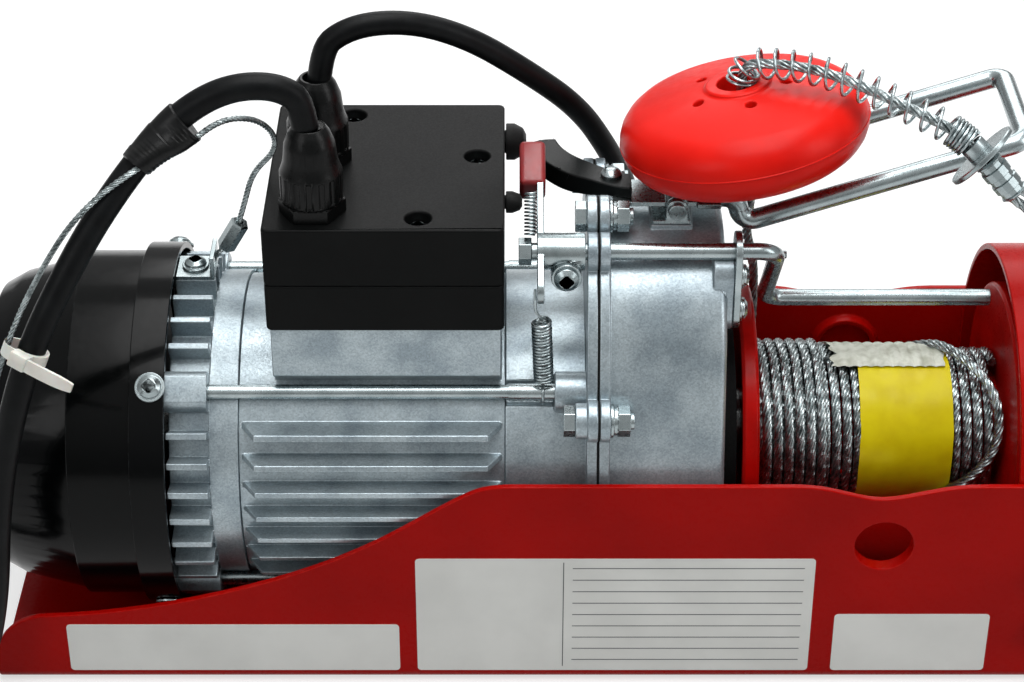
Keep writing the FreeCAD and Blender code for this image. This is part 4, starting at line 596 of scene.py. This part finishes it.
# pressed, cast and moulded bodies with rounded edges
edgeRadii = {
    "base_frame": 0.45, "drum_end_bracket": 0.5, "motor_housing": 0.35, "rear_end_bell": 0.35, "front_shield": 0.4,
    "gear_case": 0.45, "fan_cover": 0.3, "box_base": 0.6, "box_lid": 0.7, "case_bolts": 0.25, "frame_bolts": 0.25,
    "cover_screws": 0.2, "swing_arm": 0.3, "rocker_arm": 0.6, "rocker_bracket": 0.25, "lever_plate": 0.3,
    "clamp_screw": 0.2, "guide_plate": 0.3, "guide_fasteners": 0.2, "anchor_tab": 0.25,
    "feeler_rod": 0.2, "rope_drum": 0.3, "front_gland": 0.25, "rear_gland": 0.25, "upper_switch_button": 0.3,
    "lower_switch_button": 0.3, "stopper_disc": 0.6, "mains_plug": 0.6, "handset_shell": 0.4, "up_button": 0.4,
    "down_button": 0.4, "stop_button": 0.5, "load_hook": 0.3, "hook_latch": 0.2}
rounded = {node: softened(node, radius) for node, radius in edgeRadii.items()}
print("softened pieces:", len(rounded))

# rocker arm: its far end lies lower and flatter than a straight moulding, with a pan-head screw near the hinge
rocker = {"drop": 4.0, "flatten": 0.45, "reach": 22.0, "screwAt": (15.2, 5.8, 142.0),
          "screw": [(-0.8, 0), (-0.8, 3.1), (0.8, 3.1), (1.6, 2.5), (2.1, 1.4), (2.3, 0)]}
low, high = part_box("rocker_arm")
for v in rounded["rocker_arm"].data.vertices:
    t = min(1.0, max(0.0, (high[0] - v.co.x) / (rocker["reach"] * mm)))
    t = t * t * (3 - 2 * t)
    v.co.z -= (rocker["drop"] * mm + (v.co.z - low[2]) * rocker["flatten"]) * t
turnedPiece("rockerScrew", rocker["screw"], rocker["screwAt"], (0, 0, 1), 40, loop=False, body="limit_arm")

# red vinyl dip over the lever's end, thick enough to bear on the switch boots
dip = {"size": (7.6, 15.5, 9.4), "centre": (-8.0, 5.2, 143.9), "tilt": 24.8, "round": 1.5}
dipPlace = Matrix.Translation(Vector(dip["centre"]) * mm) @ Matrix.Rotation(math.radians(dip["tilt"]), 4, "X")
addPiece("leverTipDip", meshOf(roundedBlock(dip["size"], dip["round"], 4, dipPlace)), "feeler", "tip_red",
         ("lever_tip",))

# stopper disc: the moulding's parting line round its rim, rooted in the rim and standing out a little
disc = {"rim": 36.5, "root": 0.4, "skin": 0.02, "flash": 0.16, "halfWidth": 0.25, "halfCrest": 0.08}
half, crest = disc["halfWidth"], disc["halfCrest"]
root, skin, out = disc["rim"] - disc["root"], disc["rim"] - disc["skin"], disc["rim"] + disc["flash"]
profile = [(-half, root), (-half, skin), (-crest, out), (crest, out), (half, skin), (half, root)]
turnedPiece("discPartingLine", profile, discCentre, discAxis, 120, slot="stopper_red")


def helixAlong(line, stages, radius, step=30):
    # points of a wound wire round a line: stages are (distance, turns so far), in metres
    points, bend = [], 2 / (1 + math.cos(math.radians(step / 2)))
    for (s0, n0), (s1, n1) in zip(stages, stages[1:]):
        count = max(2, round(abs(n1 - n0) * 360 / step))
        for i in range(count):
            place, ahead, side = stationAt(line, s0 + (s1 - s0) * i / count)
            turn = Matrix.Rotation(2 * math.pi * (n0 + (n1 - n0) * i / count), 3, ahead)
            points.append(tuple(place + turn @ side * radius * bend))
    return points


def wireMesh(route, diameter, resolution=3):
    # a round wire along a route, both in metres
    curve = cordCurve("wire", route, diameter / 2, resolution)
    curve.bevel_resolution = 3
    return evaluatedMesh(curve)


# spring on the rope between the disc and the washer: dense ends, open middle
spring = {"radius": 0.00425, "wire": 0.001, "firstPitch": 0.0016, "firstTurns": 2, "openPitch": 0.0049,
          "closedPitch": 0.00105, "closedTurns": 6, "startAbove": 14.6, "endBefore": 0.0062}
ropeEnd = ropeLine[-1][0]
s0 = nearestRun(ropeLine, (discCentre + discAxis * spring["startAbove"]) * mm)
s1 = s0 + spring["firstTurns"] * spring["firstPitch"]
s3 = ropeEnd - spring["endBefore"]
s2 = s3 - spring["closedTurns"] * spring["closedPitch"]
n1 = spring["firstTurns"]
n2 = n1 + (s2 - s1) / spring["openPitch"]
n3 = n2 + spring["closedTurns"]
springPath = helixAlong(ropeLine, [(s0, 0), (s1, n1), (s2, n2), (s3, n3)], spring["radius"])
addPiece("stopperSpringWire", wireMesh(springPath, spring["wire"]), "hoist", "zinc", ("stopper_spring",))
print("stopper spring:", round(n3, 1), "turns")

# washer and sleeve that the spring bears on, just before the rope's end
tip = Vector(ropeLook["route"][-1]) * 1000
tipAhead = (tip - Vector(ropeLook["route"][-2]) * 1000).normalized()
washer = {"radius": 11.0, "thick": 1.5, "before": 2.2, "bore": 1.7, "edge": 0.3,
          "sleeve": 3.7, "sleeveLong": 3.6, "sleeveGap": 0.05}
a, bore, edge, rim = -washer["before"], washer["bore"], washer["edge"], washer["radius"]
b = a + washer["thick"]
profile = [(a, bore), (a, rim - edge), (a + edge, rim), (b - edge, rim), (b, rim - edge), (b, bore)]
turnedPiece("springWasher", profile, tip, tipAhead, 64)
b, rim = a - washer["sleeveGap"], washer["sleeve"]
a -= washer["sleeveLong"] + 2 * washer["sleeveGap"]
profile = [(a, bore), (a, rim - edge), (a + edge, rim), (b, rim), (b, bore)]
turnedPiece("springSleeve", profile, tip, tipAhead, 40)

# crimped ferrule, eye loop of doubled rope, and thimble
eye = {"ferruleEnd": (127.5, -25.5, 153.8), "ferruleAfter": 0.4, "bore": 1.6, "mouth": 3.4, "body": 4.0, "ridge": 4.15,
       "groove": 3.65, "grooves": 3, "firstGroove": 1.9,
       "thimbleAt": (181, -29, 117),
       "thimble": [(-1.7, 6.3), (-1.7, 7.9), (-1.3, 7.9), (-0.9, 7.1), (0.9, 7.1), (1.3, 7.9), (1.7, 7.9), (1.7, 6.3)],
       "loop": [(0.1284, -0.0255, 0.1552), (0.152, -0.0275, 0.143), (0.176, -0.029, 0.1375), (0.1905, -0.029, 0.127),
                (0.1905, -0.029, 0.1075), (0.1715, -0.029, 0.1075), (0.1715, -0.029, 0.121), (0.150, -0.0275, 0.135),
                (0.1266, -0.0255, 0.1524)]}
start = tip + tipAhead * eye["ferruleAfter"]
run = (Vector(eye["ferruleEnd"]) - start).length
crimps = [(0.0, eye["bore"]), (0.0, eye["mouth"]), (0.5, eye["body"])]
for i in range(eye["grooves"]):
    middle = eye["firstGroove"] + i * (run - 2 * eye["firstGroove"]) / (eye["grooves"] - 1)
    crimps += [(middle - 1.0, eye["ridge"]), (middle - 0.7, eye["groove"]), (middle + 0.7, eye["groove"]),
               (middle + 1.0, eye["ridge"])]
crimps += [(run - 0.5, eye["body"]), (run, eye["mouth"]), (run, eye["bore"])]
ropeFerrule = turnedPiece("ropeFerrule", crimps, start, Vector(eye["ferruleEnd"]) - start, 12, sharp=20)
ropePiece("ropeEyeLoop", ropeLook, eye["loop"], 16, "hoist", ("rope_eye",))
turnedPiece("eyeThimble", eye["thimble"], eye["thimbleAt"], (0, 1, 0), 48)

# support wire: hexagonal crimp near the tab and a small end ferrule at the cable
wireCrimp = {"at": 0.0125, "long": 11.0, "radius": 2.9, "bore": 0.9, "edge": 0.5}
place, ahead, side = stationAt(wireLine, wireCrimp["at"])
half, rim, bore, edge = wireCrimp["long"] / 2, wireCrimp["radius"], wireCrimp["bore"], wireCrimp["edge"]
profile = [(-half, bore), (-half, rim - edge), (edge - half, rim), (half - edge, rim), (half, rim - edge), (half, bore)]
turnedPiece("wireCrimp", profile, place * 1000, ahead, 6, sharp=20)
endFerrule = {"beforeEnd": 0.003,
              "profile": [(-3.0, 0.85), (-3.0, 1.5), (-2.7, 1.7), (2.7, 1.7), (3.0, 1.3), (3.0, 0.0)]}
place, ahead, side = stationAt(wireLine, wireLine[-1][0] - endFerrule["beforeEnd"])
wireEnd = turnedPiece("wireEndFerrule", endFerrule["profile"], place * 1000, ahead, 24, loop=False)
print("wire rope and its fittings ready")

# rope on the drum: turns beside each other, a part layer on top at the left, one strand crossing at the right;
# the crossing's rows are (angle, x, radius), in degrees from the top towards the front and in mm
winding = {"turns": 22, "startX": 60.49, "pitch": 3.283, "radius": 21.7,
           "topX": 60.9, "topPitch": 3.3, "topTurns": 6.4, "topRadius": 24.35, "topFrom": -150, "topSink": 2.0,
           "crossing": [(-60, 104, 24.4), (-20, 114, 25.3), (0, 120, 26.6), (20, 126, 28), (40, 131.4, 27.8),
                        (60, 132.4, 27.2), (80, 130.2, 26.8), (103, 122.3, 26.2), (130, 112, 25.2), (165, 101, 24.9)]}


def onDrum(angle, x, radius):
    a = math.radians(angle)
    return (x * mm, -radius * mm * math.sin(a), (axisZ + radius * math.cos(a)) * mm)


def windingPoints(x0, pitch, turns, radius, fromAngle, sink=0.0, step=15):
    # turns side by side, whose ends sink in towards the layer below over six steps
    count = round(turns * 360 / step)
    bend = 2 / (1 + math.cos(math.radians(step / 2)))
    points = []
    for i in range(count + 1):
        angle = i * step
        low = sink * max(0.0, 1 - i / 6, 1 - (count - i) / 6)
        points.append(onDrum(fromAngle + angle, x0 + pitch * angle / 360, radius * bend - low))
    return points


half = winding["turns"] // 2
for name, first, replaced in (("drumRopeLeft", 0, ("rope_winding",)), ("drumRopeRight", half, ())):
    turns = windingPoints(winding["startX"] + first * winding["pitch"], winding["pitch"], half, winding["radius"], 0)
    ropePiece(name, ropeLook, turns, 5, "wound_drum", replaced)
topTurns = windingPoints(winding["topX"], winding["topPitch"], winding["topTurns"], winding["topRadius"],
                         winding["topFrom"], winding["topSink"])
ropePiece("drumRopeTop", ropeLook, topTurns, 6, "wound_drum")
crossing = [onDrum(*row) for row in winding["crossing"]]
ropePiece("drumRopeCrossing", ropeLook, crossing, 12, "wound_drum")
print("drum rope wound")

# yellow tape that holds the turns, with a frayed paper band along its upper edge; angles as on the drum, sizes in mm
drumBands = {
    "dateTape": {"x0": 91, "x1": 119, "radius": 23.65, "angle0": -180, "angle1": 180, "thick": 0.15, "crease": 0.18,
                 "frayLeft": 0.5, "frayRight": 0.4},
    "paperBand": {"x0": 83.5, "x1": 117.6, "radius": 24.55, "angle0": -75, "angle1": 12, "thick": 0.12, "crease": 0.1,
                  "frayLeft": 3.2, "frayRight": 1.0, "ridge": 0.5}}
# uncoated paper: dull off-white, fibrous, dirtied in clouds
paperFinish = makeFinish("frayedPaperBand", {
    "base": "D4D8CC", "tint": "AEB2A2", "cloudMm": 4, "grainMm": 0.8, "rough": (0.5, 0.7), "bumpMm": 0.1,
    "specular": 0.3})


def bandMesh(x0, x1, radius, angle0, angle1, thick, crease, frayLeft=0.0, frayRight=0.0, ridge=0.0):
    # a strip bent round the drum, creased a little, with uneven edges
    bm = bmesh.new()
    bmesh.ops.create_grid(bm, x_segments=84, y_segments=round(abs(angle1 - angle0) / 3), size=0.5)
    for v in bm.verts:
        u, w = v.co.x + 0.5, v.co.y + 0.5
        angle = angle0 + (angle1 - angle0) * w
        pull = noise.noise(Vector((3.1, 9 * w, 0.4))) + 0.6 * noise.noise(Vector((8.7, 31 * w, 2.2)))
        x = x0 + (x1 - x0) * u + frayLeft * pull * (1 - u) ** 4 + frayRight * pull * u ** 4
        r = radius + crease * noise.noise(Vector((x * 0.22, angle * 0.06, 1.7)))
        turn = (x - winding["startX"]) / winding["pitch"] - angle / 360  # the ropes under it show through as ridges
        r += ridge * (abs(math.cos(math.pi * turn)) - 1)
        v.co = onDrum(angle, x, r)
    bmesh.ops.remove_doubles(bm, verts=bm.verts, dist=1e-6)
    bmesh.ops.recalc_face_normals(bm, faces=bm.faces)
    bmesh.ops.solidify(bm, geom=bm.faces, thickness=thick * mm)
    return meshOf(bm)


addPiece("dateTape", bandMesh(**drumBands["dateTape"]), "wound_drum", "tape_yellow", ("rope_tape",))
addPiece("paperBand", bandMesh(**drumBands["paperBand"]), "wound_drum", "tape_yellow", finish=paperFinish)

# the rear wall's sight hole is blanked, because the photograph shows no light through it
cap = {"place": (95.2, 0, 51.6), "profile": [(53.0, 0), (53.0, 8.1), (53.3, 8.4), (55.3, 8.4), (55.3, 9.6), (55.9, 9.6),
                                             (56.2, 9.1), (56.3, 0)]}
turnedPiece("rearHoleCap", cap["profile"], cap["place"], (0, 1, 0), 64, loop=False, slot="frame_red")

# rolled threads on the four tie rods
threads = {"pitch": 0.8, "crest": 2.5, "root": 2.12, "rise": 0.3, "fall": 0.45, "ring": 48.7,
           "corners": (45, 135, 225, 315), "spans": ((-111.4, -104.3), (-14.8, 7.1))}
bm = bmesh.new()
for corner in threads["corners"]:
    a = math.radians(corner)
    middle = (0, threads["ring"] * math.cos(a), axisZ + threads["ring"] * math.sin(a))
    for x0, x1 in threads["spans"]:
        count = round((x1 - x0) / threads["pitch"])
        profile = []
        for i in range(count):
            x = x0 + i * threads["pitch"]
            profile += [(x, threads["root"]), (x + threads["rise"], threads["crest"]),
                        (x + threads["fall"], threads["crest"])]
        turned(profile + [(x1, threads["root"])], middle, (1, 0, 0), 24, bm=bm)
addPiece("tieRodThreads", meshOf(bm), "hoist", "zinc", sharp=20)

# return springs of the limit lever: coils between two places, the lower one with a hooked end and a straight one
leverSpring = {
    "coil": ((-4.8, -34.84, 96.64), (-5.6, -34.25, 116.8)), "radius": 0.0026, "wire": 0.0009, "pitch": 1.05,
    "hookEnd": [(-0.0050, -0.0316, 0.0905), (-0.0050, -0.0336, 0.0889), (-0.0050, -0.0362, 0.0890),
                (-0.0050, -0.0379, 0.0912), (-0.0050, -0.0376, 0.0936), (-0.0050, -0.0344, 0.0952),
                (-0.0050, -0.0344, 0.0960)],
    "topEnd": [(-0.0056, -0.0342, 0.1172), (-0.0064, -0.0339, 0.1184), (-0.0074, -0.03365, 0.1198),
               (-0.0074, -0.0333, 0.1232), (-0.0074, -0.03305, 0.1266)],
    "upper": ((-8.6, -19, 136.2), (-8.6, -13.5, 147.5)), "upperRadius": 0.0017, "upperWire": 0.0006, "upperTurns": 12}


def coilBetween(ends, radius, turns=None, pitch=1.0):
    # a coil between two places in mm, with a number of turns or a pitch in mm
    low, high = (Vector(p) * mm for p in ends)
    line = lineOf([low, low.lerp(high, 0.5) + Vector((0, 0, 1e-5)), high])  # bent by a hair, so that its side is set
    return helixAlong(line, [(0, 0), (line[-1][0], turns or (high - low).length * 1000 / pitch)], radius)


coilPoints = coilBetween(leverSpring["coil"], leverSpring["radius"], pitch=leverSpring["pitch"])
wholeWire = leverSpring["hookEnd"] + coilPoints + leverSpring["topEnd"]
addPiece("leverSpringWire", wireMesh(wholeWire, leverSpring["wire"], 2), "hoist", "zinc", ("lever_springs",))
upperCoil = coilBetween(leverSpring["upper"], leverSpring["upperRadius"], turns=leverSpring["upperTurns"])
addPiece("upperLeverSpring", wireMesh(upperCoil, leverSpring["upperWire"], 2), "hoist", "zinc")
print("threads and lever springs made")

# rating and warning places on the front wall: plain white vinyl, one with empty ruled rows
labels = {
    "front": -55.25, "thick": 0.14, "corner": 1.2,
    "places": {"leftLabel": ((-147.8, 4.2), (-47.9, 22.0)), "middleLabel": ((-42.6, 4.2), (75.6, 47.0)),
               "rightLabel": ((82.5, 4.2), (129.0, 26.0))},
    "rules": {"from": 4.0, "to": 72.5, "low": 8.4, "high": 43.4, "count": 9, "wide": 0.28, "thick": 0.03,
              "upright": 1.4, "pastLow": 2.6, "pastHigh": 2.2}}
# calendered vinyl film: smooth, faintly uneven white
labelFinish = makeFinish("whiteVinylLabel", {
    "base": "E4E5E1", "tint": "D9DAD6", "cloudMm": 26, "grainMm": 1.5, "rough": (0.35, 0.48), "bumpMm": 0.008,
    "specular": 0.35})
# screen-printed ink: flat dark grey
inkFinish = makeFinish("greyLabelInk", {
    "base": "4A4E50", "tint": "3E4244", "cloudMm": 8, "grainMm": 0.6, "rough": (0.4, 0.55), "bumpMm": 0.004})


def plateMesh(x0, x1, z0, z1, y, thick, corner=0.0, bm=None):
    # a thin plate in front of a wall, with rounded corners where asked
    made = bmesh.new()
    bmesh.ops.create_cube(made, size=1)
    bmesh.ops.scale(made, verts=made.verts, vec=((x1 - x0) * mm, thick * mm, (z1 - z0) * mm))
    if corner:
        upright = [e for e in made.edges if abs(e.verts[0].co.y - e.verts[1].co.y) > 1e-7]
        bmesh.ops.bevel(made, geom=upright, offset=corner * mm, segments=5, profile=0.5, material=-1, affect="EDGES")
    middle = ((x0 + x1) / 2 * mm, (y - thick / 2) * mm, (z0 + z1) / 2 * mm)
    bmesh.ops.translate(made, verts=made.verts, vec=middle)
    return joined(bm, made) if bm else made


for name, ((x0, z0), (x1, z1)) in labels["places"].items():
    addPiece(name, meshOf(plateMesh(x0, x1, z0, z1, labels["front"], labels["thick"], labels["corner"])), "hoist",
             "capacitor_case", finish=labelFinish)
rules = labels["rules"]
bm = bmesh.new()
inkY = labels["front"] - labels["thick"]
for i in range(rules["count"]):
    z = rules["low"] + (rules["high"] - rules["low"]) * i / (rules["count"] - 1)
    plateMesh(rules["from"], rules["to"], z - rules["wide"] / 2, z + rules["wide"] / 2, inkY, rules["thick"], bm=bm)
plateMesh(rules["upright"] - rules["wide"], rules["upright"], rules["low"] - rules["pastLow"],
          rules["high"] + rules["pastHigh"], inkY, rules["thick"], bm=bm)
addPiece("labelRules", meshOf(bm), "hoist", "capacitor_case", finish=inkFinish)
print("labels placed")

# black tape wrap that ties the support wire to the pendant cable, and a white nylon cable tie lower down
wrap = {"near": ((-0.104, -0.030, 0.181), (-0.1155, -0.0375, 0.1685)), "radius": 4.35, "bulge": 3.0, "layers": 0.22,
        "width": 0.0075, "rings": 44, "closing": 0.5}
# moulded nylon 6: warm white, waxy, slightly see-through
nylonFinish = makeFinish("whiteNylonTie", {
    "base": "E4E3DC", "tint": "D6D4CB", "cloudMm": 6, "grainMm": 0.8, "rough": (0.3, 0.42), "bumpMm": 0.02,
    "depth": 0.15})
# stretched plasticised PVC: smooth black with pulled creases
wrapFinish = makeFinish("blackPvcTape", {
    "base": "070808", "tint": "0E0F10", "cloudMm": 7, "grainMm": 1.4, "rough": (0.28, 0.4), "bumpMm": 0.08,
    "specular": 0.18})


def sleeveRing(bm, run, radius, bulge, count=32):
    # one ring round the cable that reaches out over the wire beside it
    place, ahead, side = stationAt(pendantLine, run)
    wirePlace = min((row[1] for row in wireLine), key=lambda p: (p - place).length)
    toWire = wirePlace - place
    toWire = toWire - ahead * toWire.dot(ahead)
    reach = min(toWire.length * 1000 + 1.3, 8.5)  # over the wire, but never far from the cable
    toWire.normalize()
    across = ahead.cross(toWire)
    made = bmesh.ops.create_circle(bm, cap_ends=False, radius=1.0, segments=count)["verts"]
    for v in made:
        a = math.atan2(v.co.y, v.co.x)
        outer = radius + max(0.0, reach - radius) * max(0.0, math.cos(a)) ** bulge
        v.co = place + (toWire * math.cos(a) + across * math.sin(a)) * outer * mm
    return [e for e in bm.edges if e.verts[0] in made and e.verts[1] in made]


bm = bmesh.new()
startRun, endRun = (nearestRun(pendantLine, p) for p in wrap["near"])
rings = []
for i in range(wrap["rings"] + 1):
    run = startRun + (endRun - startRun) * i / wrap["rings"]
    layer = ((run - startRun) / wrap["width"]) % 1.0
    closing = wrap["closing"] if i in (0, wrap["rings"]) else 0.0
    rings.append(sleeveRing(bm, run, wrap["radius"] + wrap["layers"] * (1 - layer) - closing, wrap["bulge"]))
for one, two in zip(rings, rings[1:]):
    bmesh.ops.bridge_loops(bm, edges=one + two)
bmesh.ops.holes_fill(bm, edges=[e for e in bm.edges if e.is_boundary])
bmesh.ops.recalc_face_normals(bm, faces=bm.faces)
addPiece("wireTapeWrap", meshOf(bm), "hoist", "cable_black", finish=wrapFinish, sharp=40)

tie = {"at": (-0.147, -0.061, 0.124), "width": 3.6, "thick": 1.1, "inside": 3.95, "bulge": 3.0,
       "head": (5.4, 4.4, 4.2), "headOut": 6.4, "headRight": 0.6, "headRound": 0.5,
       "tail": 15.0, "tailFrom": 2.5, "tailOut": 6.8, "tailDroop": 1.4, "tailTaper": 0.35, "tailTo": (1, -0.35, 0.1)}
tieRun = nearestRun(pendantLine, tie["at"])
bm = bmesh.new()
inner = []
for along, grow in ((-0.5, 0.0), (-0.5, tie["thick"]), (0.5, tie["thick"]), (0.5, 0.0)):
    inner.append(sleeveRing(bm, tieRun + along * tie["width"] * mm, tie["inside"] + grow, tie["bulge"]))
for one, two in zip(inner, inner[1:] + inner[:1]):
    bmesh.ops.bridge_loops(bm, edges=one + two)
bmesh.ops.recalc_face_normals(bm, faces=bm.faces)
place, ahead, side = stationAt(pendantLine, tieRun)
right = Vector(tie["tailTo"])
right = (right - ahead * right.dot(ahead)).normalized()
out = ahead.cross(right).normalized()
out = -out if out.y > 0 else out
frameOfTie = Matrix((right, ahead, out)).transposed().to_4x4()
headPlace = Matrix.Translation(place + out * tie["headOut"] * mm + right * tie["headRight"] * mm) @ frameOfTie
joined(bm, roundedBlock(tie["head"], tie["headRound"], 2, headPlace))
strip = bmesh.new()
bmesh.ops.create_grid(strip, x_segments=16, y_segments=1, size=0.5)
for v in strip.verts:
    t = v.co.x + 0.5
    v.co = (place + out * (tie["tailOut"] - tie["tailDroop"] * t * t) * mm
            + right * (tie["tailFrom"] + tie["tail"] * t) * mm
            + ahead * v.co.y * tie["width"] * (1 - tie["tailTaper"] * t ** 6) * mm)
bmesh.ops.recalc_face_normals(strip, faces=strip.faces)
bmesh.ops.solidify(strip, geom=strip.faces, thickness=tie["thick"] * mm)
joined(bm, strip)
addPiece("cableTie", meshOf(bm), "hoist", "button_white", finish=nylonFinish)
print("wrap and tie placed")
